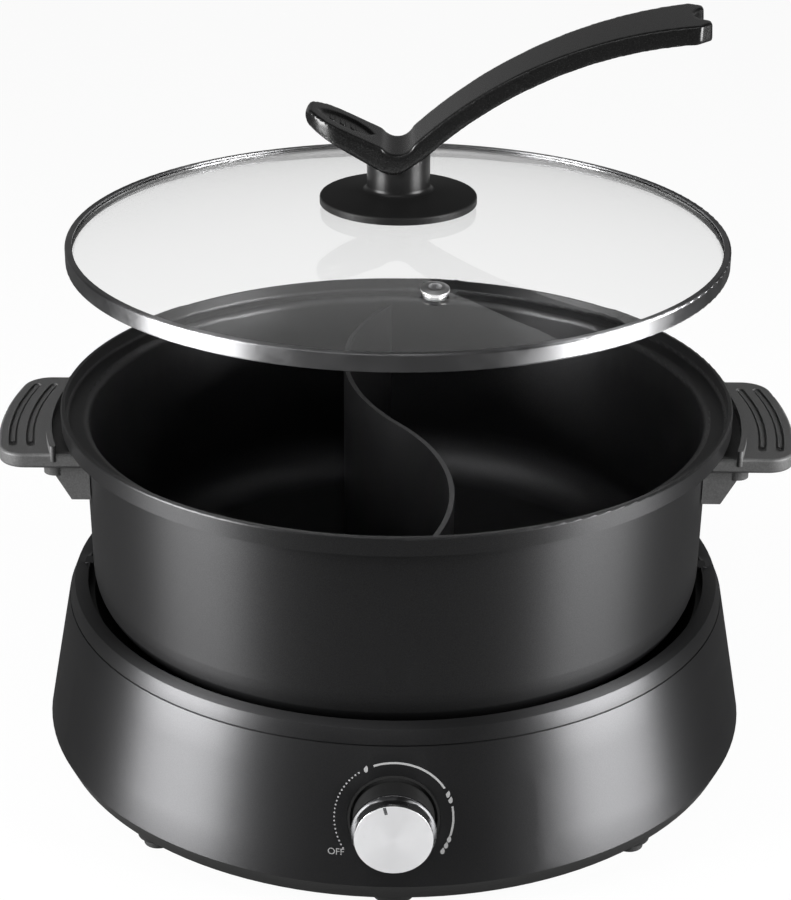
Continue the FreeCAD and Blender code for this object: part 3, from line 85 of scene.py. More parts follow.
# Moulded and softened edges
GRIP_VOXEL = 0.8 * MM
GRIP_ROUNDS = 8
EDGE_SEGMENTS = 2
EDGE_ANGLE_DEG = 35.0
MERGE_GAP = 0.01 * MM
SOFT_EDGES = (
    ("handle_right", 0.5 * MM), ("handle_left", 0.5 * MM), ("base_ring", 0.4 * MM),
    ("base_housing", 0.35 * MM), ("bottom_cover", 0.6 * MM), ("pot_divider", 0.5 * MM),
    ("knob_face", 0.25 * MM),
)

# Print round the dial: radii, sizes and turns from straight up, clockwise from the front
PRINT_R = 25.0 * MM
PRINT_LIFT = 0.08 * MM
PRINT_LINE = 0.9 * MM
DOT_R = 0.42 * MM
DOT_SIDES = 12
DOT_COUNT = 22
DOT_TURNS = (-122.0, -36.0)
ARC_TURNS = ((-20.0, 58.0), (78.0, 108.0))
FLAMES = ((-28.0, 1), (68.0, 2), (118.0, 3))
FLAME_HEIGHT = 3.0 * MM
FLAME_STEP_DEG = 6.5
FLAME_POINTS = 20
FLAME_HALF_WIDTH = 0.30     # of the flame's height
FLAME_TAPER = 0.75
FLAME_TAPER_POWER = 1.5
FLAME_BEND = 0.2
ARC_STEPS = 40
OFF_TURN = -122.0
OFF_HEIGHT = 2.9 * MM
OFF_GAP = 3.6 * MM
TEXT_SIZE_TO_HEIGHT = 1.4

# Driver crosses under the screws' heads, flat and dark: painted shade for their recesses
CROSS_REACH = 3.6 * MM
CROSS_WIDTH = 0.9 * MM
CROSS_TURN = 0.4

# Raised loops in the lid handle's thumb recess, set out along the paddle's slope
NUB_COUNT = 3
NUB_CENTRE = (-24.0 * MM, 304.0 * MM)
NUB_SLOPE = (31.5, -14.5)
NUB_PITCH = 5.0 * MM
NUB_WIDTH = 2.4 * MM
NUB_LENGTH = 7.0 * MM
NUB_R = 0.35 * MM
NUB_BEND_STEP_DEG = 20
NUB_REACH = 8.0 * MM

# Bare rating label under the base
LABEL_SIZE = (52.0 * MM, 30.0 * MM)
LABEL_CORNER = 3.0 * MM
CORNER_STEPS = 6

# Room and lights
FLOOR_HALF = 6.0
FLOOR_SHADE = 0.10      # the ground's shade as the part's surfaces see it
FLOOR_PAPER = 0.8       # its shade as the camera sees it
FLOOR_WHITE = 0.94      # how much of the ground's white is plain, the rest takes the shadow
BACKDROP = (3.5, 1.9, 1.6)      # half its width, its distance and its height
BACKDROP_GLOW = 0.35
WORLD_DIM = 0.035
BOX_DISTANCE = 1.3
BOX_HEIGHT = 0.42
BOX_AIM_HEIGHT = 0.8 * BOX_HEIGHT
BOX_SIZE = (0.75, 0.84)
SIDE_BOXES = (("left_box", -67.0, 46.0), ("right_box", 68.0, 44.0))     # turn and power
TOP_PLACE = (-0.4, -0.6, 1.6)
TOP_AIM_HEIGHT = 0.15
TOP_SIZE = (1.5, 0.4)
TOP_POWER = 4.5
NEAR_CLIP = 10.0 * MM


# Node helpers

def bare_tree(owner, output_kind="ShaderNodeOutputMaterial"):
    """The emptied node tree of a material or a world, and its new output."""
    owner.use_nodes = True
    tree = owner.node_tree
    tree.nodes.clear()
    return tree, tree.nodes.new(output_kind)


def new_material(name):
    """A material with one Principled shader."""
    material = bpy.data.materials.new(name)
    tree, output = bare_tree(material)
    shader = tree.nodes.new("ShaderNodeBsdfPrincipled")
    tree.links.new(shader.outputs["BSDF"], output.inputs["Surface"])
    return material, tree, shader


def math_node(tree, operation, first, second=None):
    """A math node's output. Each input is a socket or a number."""
    node = tree.nodes.new("ShaderNodeMath")
    node.operation = operation
    for socket, value in zip(node.inputs, (first, second)):
        if value is None:
            continue
        if isinstance(value, bpy.types.NodeSocket):
            tree.links.new(value, socket)
        else:
            socket.default_value = value
    return node.outputs[0]


def mix_colour(tree, factor, low, high):
    """A colour between two. Each input is a socket, a colour or, for the factor, a number."""
    node = tree.nodes.new("ShaderNodeMix")
    node.data_type = "RGBA"
    for socket, value in zip((node.inputs[0], node.inputs[6], node.inputs[7]), (factor, low, high)):
        if isinstance(value, bpy.types.NodeSocket):
            tree.links.new(value, socket)
        elif isinstance(value, tuple):
            socket.default_value = (*value, 1.0)
        else:
            socket.default_value = value
    return node.outputs[2]


def ranged(tree, value, low, high, out_low, out_high):
    """A value moved from one range to another, and kept inside it."""
    node = tree.nodes.new("ShaderNodeMapRange")
    tree.links.new(value, node.inputs["Value"])
    node.inputs["From Min"].default_value = low
    node.inputs["From Max"].default_value = high
    node.inputs["To Min"].default_value = out_low
    node.inputs["To Max"].default_value = out_high
    return node.outputs["Result"]


def reach(tree, first, second):
    """How far off a point is whose two distances at right angles are given."""
    squares = [math_node(tree, "MULTIPLY", side, side) for side in (first, second)]
    return math_node(tree, "SQRT", math_node(tree, "ADD", *squares))


def looked_at(tree):
    """1 where the camera sees a surface straight or through the glass, and 0 in reflections."""
    path = tree.nodes.new("ShaderNodeLightPath")
    return math_node(tree, "MAXIMUM", path.outputs["Is Camera Ray"], path.outputs["Is Transmission Ray"])


def grain_group():
    """A shared group: fine moulded or sprayed grain, as a value about 0.5 and as a bump."""
    group = bpy.data.node_groups.new("surface_grain", "ShaderNodeTree")
    group.interface.new_socket("Vector", in_out="INPUT", socket_type="NodeSocketVector")
    group.interface.new_socket("Scale", in_out="INPUT", socket_type="NodeSocketFloat")
    group.interface.new_socket("Strength", in_out="INPUT", socket_type="NodeSocketFloat")
    group.interface.new_socket("Value", in_out="OUTPUT", socket_type="NodeSocketFloat")
    group.interface.new_socket("Normal", in_out="OUTPUT", socket_type="NodeSocketVector")
    entry = group.nodes.new("NodeGroupInput")
    leave = group.nodes.new("NodeGroupOutput")
    noise = group.nodes.new("ShaderNodeTexNoise")
    noise.inputs["Detail"].default_value = 3.0
    noise.inputs["Roughness"].default_value = 0.6
    bump = group.nodes.new("ShaderNodeBump")
    bump.inputs["Distance"].default_value = GRAIN_DEPTH
    group.links.new(entry.outputs["Vector"], noise.inputs["Vector"])
    group.links.new(entry.outputs["Scale"], noise.inputs["Scale"])
    group.links.new(entry.outputs["Strength"], bump.inputs["Strength"])
    group.links.new(noise.outputs["Fac"], bump.inputs["Height"])
    group.links.new(noise.outputs["Fac"], leave.inputs["Value"])
    group.links.new(bump.outputs["Normal"], leave.inputs["Normal"])
    return group


GRAIN = grain_group()


def grain(tree, scale, strength):
    """The shared grain on object coordinates."""
    coordinates = tree.nodes.new("ShaderNodeTexCoord")
    node = tree.nodes.new("ShaderNodeGroup")
    node.node_tree = GRAIN
    tree.links.new(coordinates.outputs["Object"], node.inputs["Vector"])
    node.inputs["Scale"].default_value = scale
    node.inputs["Strength"].default_value = strength
    return node


def place_parts(tree):
    """Object coordinates, split, with the distance from the upright axis."""
    coordinates = tree.nodes.new("ShaderNodeTexCoord")
    parts = tree.nodes.new("ShaderNodeSeparateXYZ")
    tree.links.new(coordinates.outputs["Object"], parts.inputs[0])
    return parts, reach(tree, parts.outputs["X"], parts.outputs["Y"])


def turning_bump(tree, height, depth, under=None):
    """Fine turned rings as a bump, over another bump where one is given."""
    bump = tree.nodes.new("ShaderNodeBump")
    bump.inputs["Distance"].default_value = depth
    tree.links.new(height, bump.inputs["Height"])
    if under is not None:
        tree.links.new(under, bump.inputs["Normal"])
    return bump.outputs["Normal"]


# Materials

def satin(name, dark, light, metallic, roughness, scale, strength, spread=0.06):
    """A satin coat: its colour and roughness vary a little with a fine grain."""
    material, tree, shader = new_material(name)
    node = grain(tree, scale, strength)
    colour = mix_colour(tree, ranged(tree, node.outputs["Value"], 0.35, 0.65, 0.0, 1.0), dark, light)
    tree.links.new(colour, shader.inputs["Base Color"])
    rough = ranged(tree, node.outputs["Value"], 0.3, 0.7, roughness - spread / 2, roughness + spread / 2)
    tree.links.new(rough, shader.inputs["Roughness"])
    tree.links.new(node.outputs["Normal"], shader.inputs["Normal"])
    shader.inputs["Metallic"].default_value = metallic
    return material


def principled(material):
    return material.node_tree.nodes["Principled BSDF"]


def brush(material, amount):
    """Draws the highlights out upright, as fine turning round the axis does."""
    principled(material).inputs["Anisotropic"].default_value = amount
    principled(material).inputs["Anisotropic Rotation"].default_value = 0.25
    return material


def paint_material():
    """The housing's dark metallic paint, its highlights drawn out upright."""
    dark, light = (0.066, 0.066, 0.068), (0.088, 0.088, 0.090)
    return brush(satin("housing_paint", dark, light, 0.95, 0.46, 3500.0, 0.05), 0.9)


def pot_material(name="pot_coat", brushed=0.75):
    """Anthracite non-stick coat outside, darker and smoother inside the pot."""
    material, tree, shader = new_material(name)
    node = grain(tree, 2600.0, 0.06)
    parts, radius = place_parts(tree)
    height = parts.outputs["Z"]
    ledge_z = POT_HIGH[2] - POT_LEDGE_DROP
    shell_low, shell_high = (POT_LOW[2] + rise for rise in POT_FLOOR_SHELL)
    in_wall = ranged(tree, radius, POT_INNER_R - WALL_BLEND, POT_INNER_R, 1.0, 0.0)
    below_ledge = ranged(tree, height, ledge_z - LEDGE_BLEND, ledge_z, 1.0, 0.0)
    above_floor = ranged(tree, height, shell_low, shell_high, 0.0, 1.0)
    inside = math_node(tree, "MULTIPLY", math_node(tree, "MULTIPLY", in_wall, below_ledge), above_floor)
    value = ranged(tree, node.outputs["Value"], 0.35, 0.65, 0.0, 1.0)
    outside_colour = mix_colour(tree, value, (0.038, 0.038, 0.039), (0.054, 0.054, 0.055))
    inside_colour = mix_colour(tree, value, (0.022, 0.022, 0.023), (0.034, 0.034, 0.035))
    tree.links.new(mix_colour(tree, inside, outside_colour, inside_colour), shader.inputs["Base Color"])
    tree.links.new(ranged(tree, inside, 0.0, 1.0, 0.38, 0.33), shader.inputs["Roughness"])
    tree.links.new(node.outputs["Normal"], shader.inputs["Normal"])
    shader.inputs["Metallic"].default_value = 0.85
    return brush(material, brushed)


def plastic_material(name, roughness, shade):
    """Moulded black plastic with a fine grain."""
    material = satin(name, (shade,) * 3, (shade * 1.5,) * 3, 0.0, roughness, 1400.0, 0.12)
    principled(material).inputs["Specular IOR Level"].default_value = 0.45
    return material


def flange_material():
    """The lid's flange is matt, and its neck is polished."""
    material, tree, shader = new_material("flange_phenolic")
    shader.inputs["Specular IOR Level"].default_value = 0.2
    node = grain(tree, 1500.0, 0.08)
    _, radius = place_parts(tree)
    neck = ranged(tree, radius, *NECK_EDGE_R, 1.0, 0.0)
    colour = mix_colour(tree, node.outputs["Value"], (0.004, 0.004, 0.004), (0.009, 0.009, 0.009))
    tree.links.new(colour, shader.inputs["Base Color"])
    tree.links.new(ranged(tree, neck, 0.0, 1.0, 0.5, 0.30), shader.inputs["Roughness"])
    tree.links.new(node.outputs["Normal"], shader.inputs["Normal"])
    return material


def polished_material(name, colour, roughness, streaks):
    """Bare polished metal with a faint wavering in its polish."""
    material, tree, shader = new_material(name)
    node = grain(tree, 90.0, streaks)
    lighter = tuple(channel * 1.06 for channel in colour)
    tree.links.new(mix_colour(tree, node.outputs["Value"], colour, lighter), shader.inputs["Base Color"])
    tree.links.new(ranged(tree, node.outputs["Value"], 0.3, 0.7, roughness * 0.8, roughness * 1.2),
                   shader.inputs["Roughness"])
    tree.links.new(node.outputs["Normal"], shader.inputs["Normal"])
    shader.inputs["Metallic"].default_value = 1.0
    return material


def band_material():
    """The lid's turned band, its highlights drawn out upright."""
    return brush(polished_material("band_steel", (0.27, 0.27, 0.275), 0.42, 0.02), 0.85)


def knob_face_material():
    """Turned silver on the knob's flat face, bright chrome on its bevel and skirt."""
    material, tree, shader = new_material("knob_metal")
    parts, _ = place_parts(tree)
    up = math_node(tree, "SUBTRACT", parts.outputs["Z"], KNOB_AXIS_Z)
    radius = reach(tree, parts.outputs["X"], up)
    rings = math_node(tree, "SINE", math_node(tree, "MULTIPLY", radius, KNOB_RINGS))
    edge_start, edge_end = (KNOB_FRONT_Y + depth for depth in KNOB_FACE_EDGE)
    face = ranged(tree, parts.outputs["Y"], edge_start, edge_end, 1.0, 0.0)
    turned = turning_bump(tree, math_node(tree, "MULTIPLY", rings, face), KNOB_RING_DEPTH)
    colour = mix_colour(tree, face, (0.62, 0.62, 0.63), (0.66, 0.66, 0.67))
    tree.links.new(turned, shader.inputs["Normal"])
    tree.links.new(ranged(tree, face, 0.0, 1.0, 0.12, 0.38), shader.inputs["Roughness"])
    tree.links.new(colour, shader.inputs["Base Color"])
    tree.links.new(ranged(tree, face, 0.0, 1.0, 1.0, 0.25), shader.inputs["Metallic"])
    return material


def plate_material():
    """Cast aluminium, turned on its face."""
    material, tree, shader = new_material("turned_plate")
    _, radius = place_parts(tree)
    node = grain(tree, 500.0, 0.1)
    rings = math_node(tree, "SINE", math_node(tree, "MULTIPLY", radius, PLATE_RINGS))
    turned = turning_bump(tree, rings, PLATE_RING_DEPTH, node.outputs["Normal"])
    colour = mix_colour(tree, node.outputs["Value"], (0.42, 0.42, 0.43), (0.56, 0.56, 0.57))
    tree.links.new(turned, shader.inputs["Normal"])
    tree.links.new(colour, shader.inputs["Base Color"])
    shader.inputs["Roughness"].default_value = 0.38
    shader.inputs["Metallic"].default_value = 1.0
    return material


def glass_material():
    """Clear tempered glass with a faint variation in its polish."""
    material, tree, shader = new_material("lid_glass")
    node = grain(tree, 12.0, 0.0)
    colour = mix_colour(tree, node.outputs["Value"], (0.985, 0.99, 0.988), (1.0, 1.0, 1.0))
    tree.links.new(colour, shader.inputs["Base Color"])
    tree.links.new(ranged(tree, node.outputs["Value"], 0.3, 0.7, 0.0, 0.01), shader.inputs["Roughness"])
    shader.inputs["Transmission Weight"].default_value = 1.0
    shader.inputs["IOR"].default_value = 1.45
    return material


def print_material():
    """Pale silk-screened ink."""
    return satin("pale_ink", (0.24, 0.24, 0.24), (0.30, 0.30, 0.30), 0.0, 0.6, 4000.0, 0.02)


MATERIALS = {
    "paint": paint_material(),
    "pot": pot_material(),
    "divider": pot_material("divider_coat", 0.0),
    "plastic": plastic_material("black_phenolic", 0.5, 0.055),
    "grip": plastic_material("grip_phenolic", 0.26, 0.004),
    "cover": plastic_material("cover_plastic", 0.5, 0.014),
    "bezel": plastic_material("bezel_plastic", 0.5, 0.006),
    "barrel": plastic_material("barrel_plastic", 0.35, 0.008),
    "flange": flange_material(),
    "rubber": satin("foot_rubber", (0.012, 0.012, 0.012), (0.022, 0.022, 0.022), 0.0, 0.7, 900.0, 0.2),
    "enamel": satin("pan_enamel", (0.006, 0.006, 0.006), (0.012, 0.012, 0.012), 0.0, 0.45, 1200.0, 0.05),
    "steel": polished_material("bright_steel", (0.62, 0.62, 0.61), 0.25, 0.05),
    "band": band_material(),
    "grommet": polished_material("grommet_steel", (0.82, 0.82, 0.825), 0.38, 0.02),
    "brass": polished_material("brass", (0.72, 0.55, 0.25), 0.3, 0.05),
    "knob": knob_face_material(),
    "white": satin("white_nylon", (0.62, 0.61, 0.57), (0.70, 0.69, 0.65), 0.0, 0.5, 700.0, 0.1),
    "glass": glass_material(),
    "ink": print_material(),
    "plate": plate_material(),
    "label": satin("label_foil", (0.42, 0.42, 0.43), (0.50, 0.50, 0.51), 0.8, 0.45, 300.0, 0.02),
}

NODE_MATERIALS = {
    "base_housing": "paint", "base_ring": "paint", "well_pan": "enamel", "bottom_cover": "cover",
    "foot_pads": "rubber", "cover_screws": "steel", "heating_plate": "plate", "heating_element": "steel",
    "heater_posts": "steel", "thermal_cutout": "steel", "thermal_fuse": "brass", "fuse_strap": "steel",
    "terminal_block": "white", "dial_bezel": "bezel", "regulator_body": "white", "regulator_tabs": "brass",
    "regulator_nut": "steel", "regulator_bracket": "steel", "power_inlet": "plastic", "inlet_pins": "brass",
    "inlet_screws": "steel", "regulator_shaft": "steel", "knob_body": "barrel", "knob_face": "knob",
    "knob_clip": "steel", "pot_body": "pot", "pot_divider": "divider", "handle_right": "plastic",
    "handle_left": "plastic", "handle_bracket_right": "steel", "handle_bracket_left": "steel",
    "handle_screws": "steel", "lid_glass": "glass", "lid_band": "band", "lid_seal": "rubber",
    "steam_vent": "grommet", "lid_gasket": "rubber", "lid_flange": "flange", "lid_handle": "grip",
    "lid_washer": "steel", "lid_screw": "steel",
}


def dress_nodes():
    for name, node in frame["nodes"].items():
        node.data.materials.clear()
        node.data.materials.append(MATERIALS[NODE_MATERIALS[name]])


def melt(name, voxel, rounds):
    """Rounds all of a node's edges as a moulding tool leaves them."""
    node = frame["nodes"][name]
    remesh = node.modifiers.new("even", "REMESH")
    remesh.mode = "VOXEL"
    remesh.voxel_size = voxel
    remesh.use_smooth_shade = True
    smooth = node.modifiers.new("melt", "SMOOTH")
    smooth.factor = 0.5
    smooth.iterations = rounds


def soften(name, width):
    """Rounds a node's sharp edges by a width."""
    node = frame["nodes"][name]
    weld = node.modifiers.new("weld", "WELD")
    weld.merge_threshold = MERGE_GAP
    bevel = node.modifiers.new("soften", "BEVEL")
    bevel.width = width
    bevel.segments = EDGE_SEGMENTS
    bevel.limit_method = "ANGLE"
    bevel.angle_limit = math.radians(EDGE_ANGLE_DEG)
    bevel.harden_normals = False


# Making pieces

def in_scene(name, data):
    """A new object in the scene."""
    made = bpy.data.objects.new(name, data)
    bpy.context.scene.collection.objects.link(made)
    return made


def kept_mesh(name, mesh):
    """What was built in a bmesh, kept as mesh data."""
    data = bpy.data.meshes.new(name)
    mesh.to_mesh(data)
    mesh.free()
    return data


def turned_to_mesh(source):
    """The plain mesh that a curve, a text or a modified object comes to. The source goes."""
    evaluated = source.evaluated_get(bpy.context.evaluated_depsgraph_get())
    data = bpy.data.meshes.new_from_object(evaluated)
    bpy.data.objects.remove(source)
    return data


def finish_piece(name, data, material, body):
    """Dresses a piece and lets it ride on a body."""
    data.materials.clear()
    data.materials.append(MATERIALS[material])
    piece = in_scene(name, data)
    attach(piece, body)
    return piece


# Print round the dial

def housing_r(z):
    """The radius of the housing's cone at a height."""
    share = (z - HOUSING_LOW[2]) / (HOUSING_HIGH[2] - HOUSING_LOW[2])
    return HOUSING_LOW_R + share * (HOUSING_TOP_R - HOUSING_LOW_R)


def on_housing(u, v):
    """A point just off the housing's face, u to the right of the dial's centre and v above it."""
    z = KNOB_AXIS_Z + v
    radius = housing_r(z) + PRINT_LIFT
    return Vector((u, -math.sqrt(radius ** 2 - u ** 2), z))


def turned_point(turn_deg, radius):
    """A point round the dial, its turn clockwise from straight up."""
    angle = math.radians(turn_deg)
    return radius * math.sin(angle), radius * math.cos(angle)


def stroke_faces(mesh, turn_start, turn_end):
    """An arc of the print, drawn as a thin line."""
    rows = []
    for index in range(ARC_STEPS + 1):
        turn = turn_start + (turn_end - turn_start) * index / ARC_STEPS
        rows.append([mesh.verts.new(on_housing(*turned_point(turn, PRINT_R + side * PRINT_LINE / 2)))
                     for side in (-1, 1)])
    for first, second in zip(rows, rows[1:]):
        mesh.faces.new((first[0], second[0], second[1], first[1]))


def blob_faces(mesh, centre, outline_points):
    """A small filled shape about a centre, from points round it."""
    ring = [mesh.verts.new(on_housing(centre[0] + u, centre[1] + v)) for u, v in outline_points]
    mesh.faces.new(ring)


def flame_points():
    """A plain drop with a bent tip."""
    points = []
    for k in range(FLAME_POINTS):
        angle = 2 * math.pi * k / FLAME_POINTS
        rise = math.sin(angle) * FLAME_HEIGHT / 2
        taper = 1.0 - FLAME_TAPER * max(0.0, math.sin(angle)) ** FLAME_TAPER_POWER
        width = math.cos(angle) * FLAME_HEIGHT * FLAME_HALF_WIDTH * taper
        points.append((width + FLAME_BEND * max(0.0, rise), rise))
    return points


def dial_print():
    """The dial's arcs and its one, two and three flames."""
    mesh = bmesh.new()
    for start, end in ARC_TURNS:
        stroke_faces(mesh, start, end)
    for turn, count in FLAMES:
        for k in range(count):
            flame = turned_point(turn + (k - (count - 1) / 2) * FLAME_STEP_DEG, PRINT_R)
            blob_faces(mesh, flame, flame_points())
    finish_piece("dial_print", kept_mesh("dial_print", mesh), "ink", "base")


def copies_group(name, material):
    """A geometry node group that lays its pattern on every point, turned and dressed."""
    group = bpy.data.node_groups.new(name, "GeometryNodeTree")
    group.interface.new_socket("Geometry", in_out="INPUT", socket_type="NodeSocketGeometry")
    pattern_socket = group.interface.new_socket("Pattern", in_out="INPUT", socket_type="NodeSocketObject")
    group.interface.new_socket("Geometry", in_out="OUTPUT", socket_type="NodeSocketGeometry")
    entry = group.nodes.new("NodeGroupInput")
    leave = group.nodes.new("NodeGroupOutput")
    info = group.nodes.new("GeometryNodeObjectInfo")
    copies = group.nodes.new("GeometryNodeInstanceOnPoints")
    turn = group.nodes.new("GeometryNodeInputNamedAttribute")
    turn.data_type = "FLOAT_VECTOR"
    turn.inputs["Name"].default_value = "turn"
    to_rotation = group.nodes.new("FunctionNodeEulerToRotation")
    real = group.nodes.new("GeometryNodeRealizeInstances")
    dress = group.nodes.new("GeometryNodeSetMaterial")
    dress.inputs["Material"].default_value = MATERIALS[material]
    links = group.links
    links.new(entry.outputs["Pattern"], info.inputs["Object"])
    links.new(entry.outputs["Geometry"], copies.inputs["Points"])
    links.new(info.outputs["Geometry"], copies.inputs["Instance"])
    links.new(turn.outputs["Attribute"], to_rotation.inputs["Euler"])
    links.new(to_rotation.outputs["Rotation"], copies.inputs["Rotation"])
    links.new(copies.outputs["Instances"], real.inputs["Geometry"])
    links.new(real.outputs["Geometry"], dress.inputs["Geometry"])
    links.new(dress.outputs["Geometry"], leave.inputs["Geometry"])
    return group, pattern_socket.identifier


def repeated(name, places, turns, template, material, body):
    """Copies of a small mesh, one at each place, laid down by geometry nodes."""
    points = bpy.data.meshes.new(name + "_points")
    points.from_pydata(places, [], [])
    turned = points.attributes.new("turn", "FLOAT_VECTOR", "POINT")
    for index, turn in enumerate(turns):
        turned.data[index].vector = turn
    carrier = in_scene(name + "_points", points)
    pattern = in_scene(name + "_pattern", template)
    modifier = carrier.modifiers.new(name, "NODES")
    modifier.node_group, pattern_input = copies_group(name, material)
    modifier[pattern_input] = pattern
    data = turned_to_mesh(carrier)
    bpy.data.objects.remove(pattern)
    data.name = name
    finish_piece(name, data, material, body)


def dot_mesh():
    """One flat round dot."""
    mesh = bmesh.new()
    turns = [2 * math.pi * k / DOT_SIDES for k in range(DOT_SIDES)]
    mesh.faces.new([mesh.verts.new((DOT_R * math.cos(turn), DOT_R * math.sin(turn), 0)) for turn in turns])
    return kept_mesh("dot", mesh)


def facing_turn(place):
    """The turn that lays a flat piece's +Z outward on the housing's cone."""
    lean = math.atan2(HOUSING_LOW_R - HOUSING_TOP_R, HOUSING_HIGH[2] - HOUSING_LOW[2])
    outward = Vector((place[0], place[1], 0)).normalized() * math.cos(lean) + Vector((0, 0, math.sin(lean)))
    return tuple(outward.to_track_quat("Z", "Y").to_euler())


def dial_dots():
    """The row of dots between OFF and the first flame."""
    first, last = DOT_TURNS
    turns = [first + (last - first) * k / (DOT_COUNT - 1) for k in range(DOT_COUNT)]
    places = [tuple(on_housing(*turned_point(turn, PRINT_R))) for turn in turns]
    repeated("dial_dots", places, [facing_turn(place) for place in places], dot_mesh(), "ink", "base")


def recess_shade_cross():
    """A flat cross facing down, to be coloured dark as painted shade for the driver recess in a screw's
    head.
    """
    mesh = bmesh.new()
    for along, across in ((CROSS_REACH, CROSS_WIDTH), (CROSS_WIDTH, CROSS_REACH)):
        corners = ((-along, -across), (-along, across), (along, across), (along, -across))
        mesh.faces.new([mesh.verts.new((x / 2, y / 2, 0)) for x, y in corners])
    return kept_mesh("cross", mesh)


def islands(node_name):
    """The boxes of a node's separate pieces, in a settled order."""
    mesh = bmesh.new()
    mesh.from_mesh(frame["nodes"][node_name].data)
    bmesh.ops.remove_doubles(mesh, verts=mesh.verts, dist=MERGE_GAP)
    left = set(mesh.verts)
    boxes = []
    while left:
        stack = [left.pop()]
        found = []
        while stack:
            vertex = stack.pop()
            found.append(vertex.co.copy())
            for edge in vertex.link_edges:
                other = edge.other_vert(vertex)
                if other in left:
                    left.remove(other)
                    stack.append(other)
        boxes.append([[pick(co[axis] for co in found) for axis in range(3)] for pick in (min, max)])
    mesh.free()
    return sorted(boxes)


def screw_recess_shades():
    """Driver crosses under the heads of the screws that face down, dark sheets painted as the shade in
    their recesses.
    """
    for node_name, body in (("cover_screws", "base"), ("handle_screws", "pot")):
        places = [((low[0] + high[0]) / 2, (low[1] + high[1]) / 2, low[2] - PRINT_LIFT)
                  for low, high in islands(node_name)]
        turns = [(0, 0, CROSS_TURN)] * len(places)
        # The crosses take the dark rubber finish as painted shade of the recesses, not a colour of the
        # steel.
        repeated(node_name + "_crosses", places, turns, recess_shade_cross(), "rubber", body)


def rounded_sheet(name, size, corner, z, material, body):
    """A thin flat label with round corners, facing down."""
    mesh = bmesh.new()
    ring = []
    for quarter, (sx, sy) in enumerate(((1, 1), (-1, 1), (-1, -1), (1, -1))):
        for step in range(CORNER_STEPS + 1):
            angle = math.radians(90 * (quarter + step / CORNER_STEPS))
            ring.append(mesh.verts.new((sx * (size[0] / 2 - corner) + corner * math.cos(angle),
                                        sy * (size[1] / 2 - corner) + corner * math.sin(angle), z)))
    mesh.faces.new(list(reversed(ring)))
    finish_piece(name, kept_mesh(name, mesh), material, body)


def nub_path():
    """One loop's centre line, as a U along and across the paddle."""
    half = NUB_WIDTH / 2
    bend_v = half - NUB_LENGTH / 2
    turns = [math.radians(turn) for turn in range(0, 181, NUB_BEND_STEP_DEG)]
    bend = [(-half * math.cos(turn), bend_v - half * math.sin(turn)) for turn in turns]
    return [(-half, NUB_LENGTH / 2), (-half, 0), *bend, (half, 0), (half, NUB_LENGTH / 2)]


def grip_nubs():
    """Three raised loops in the thumb recess, laid on the lid handle's own face."""
    node = frame["nodes"]["lid_handle"]
    grip_face = BVHTree.FromObject(node, bpy.context.evaluated_depsgraph_get())
    along = Vector((NUB_SLOPE[0], 0, NUB_SLOPE[1])).normalized()
    across = Vector((0, 1, 0))
    lift = along.cross(across)
    centre = Vector((NUB_CENTRE[0], 0, NUB_CENTRE[1]))
    curve = bpy.data.curves.new("grip_nubs", "CURVE")
    curve.dimensions = "3D"
    curve.bevel_depth = NUB_R
    curve.bevel_resolution = 3
    curve.use_fill_caps = True
    for index in range(NUB_COUNT):
        offset = (index - (NUB_COUNT - 1) / 2) * NUB_PITCH
        starts = [centre + along * (offset + u) + across * v + lift * NUB_REACH for u, v in nub_path()]
        hits = [grip_face.ray_cast(start, -lift, 2 * NUB_REACH)[0] for start in starts]
        points = [hit for hit in hits if hit is not None]
        spline = curve.splines.new("POLY")
        spline.points.add(len(points) - 1)
        for target, point in zip(spline.points, points):
            target.co = (*point, 1)
    finish_piece("grip_nubs", turned_to_mesh(in_scene("grip_nubs", curve)), "grip", "lid")


def off_mark():
    """The word OFF by the dial's first dot."""
    curve = bpy.data.curves.new("off_text", "FONT")
    curve.body = "OFF"
    curve.size = OFF_HEIGHT * TEXT_SIZE_TO_HEIGHT
    curve.align_x = "CENTER"
    curve.align_y = "CENTER"
    data = turned_to_mesh(in_scene("off_text", curve))
    centre = turned_point(OFF_TURN, PRINT_R + OFF_GAP)
    for vertex in data.vertices:
        vertex.co = on_housing(centre[0] + vertex.co.x, centre[1] + vertex.co.y)
    finish_piece("off_mark", data, "ink", "base")


# Room, lights and camera

def stage_material():
    """A white ground that keeps a faint shadow, looks dark in reflections and is clear from below."""
    material = bpy.data.materials.new("ground")
    tree, output = bare_tree(material)
    matt = tree.nodes.new("ShaderNodeBsdfDiffuse")
    glow = tree.nodes.new("ShaderNodeEmission")
    glow.inputs["Strength"].default_value = 1.0
    mix = tree.nodes.new("ShaderNodeMixShader")
    seen = looked_at(tree)
    tree.links.new(mix_colour(tree, seen, (FLOOR_SHADE,) * 3, (FLOOR_PAPER,) * 3), matt.inputs["Color"])
    tree.links.new(math_node(tree, "MULTIPLY", seen, FLOOR_WHITE), mix.inputs["Fac"])
    tree.links.new(matt.outputs[0], mix.inputs[1])
    tree.links.new(glow.outputs[0], mix.inputs[2])
    side = tree.nodes.new("ShaderNodeNewGeometry")
    clear = tree.nodes.new("ShaderNodeBsdfTransparent")
    either = tree.nodes.new("ShaderNodeMixShader")
    tree.links.new(side.outputs["Backfacing"], either.inputs["Fac"])
    tree.links.new(mix.outputs[0], either.inputs[1])
    tree.links.new(clear.outputs[0], either.inputs[2])
    tree.links.new(either.outputs[0], output.inputs["Surface"])
    return material


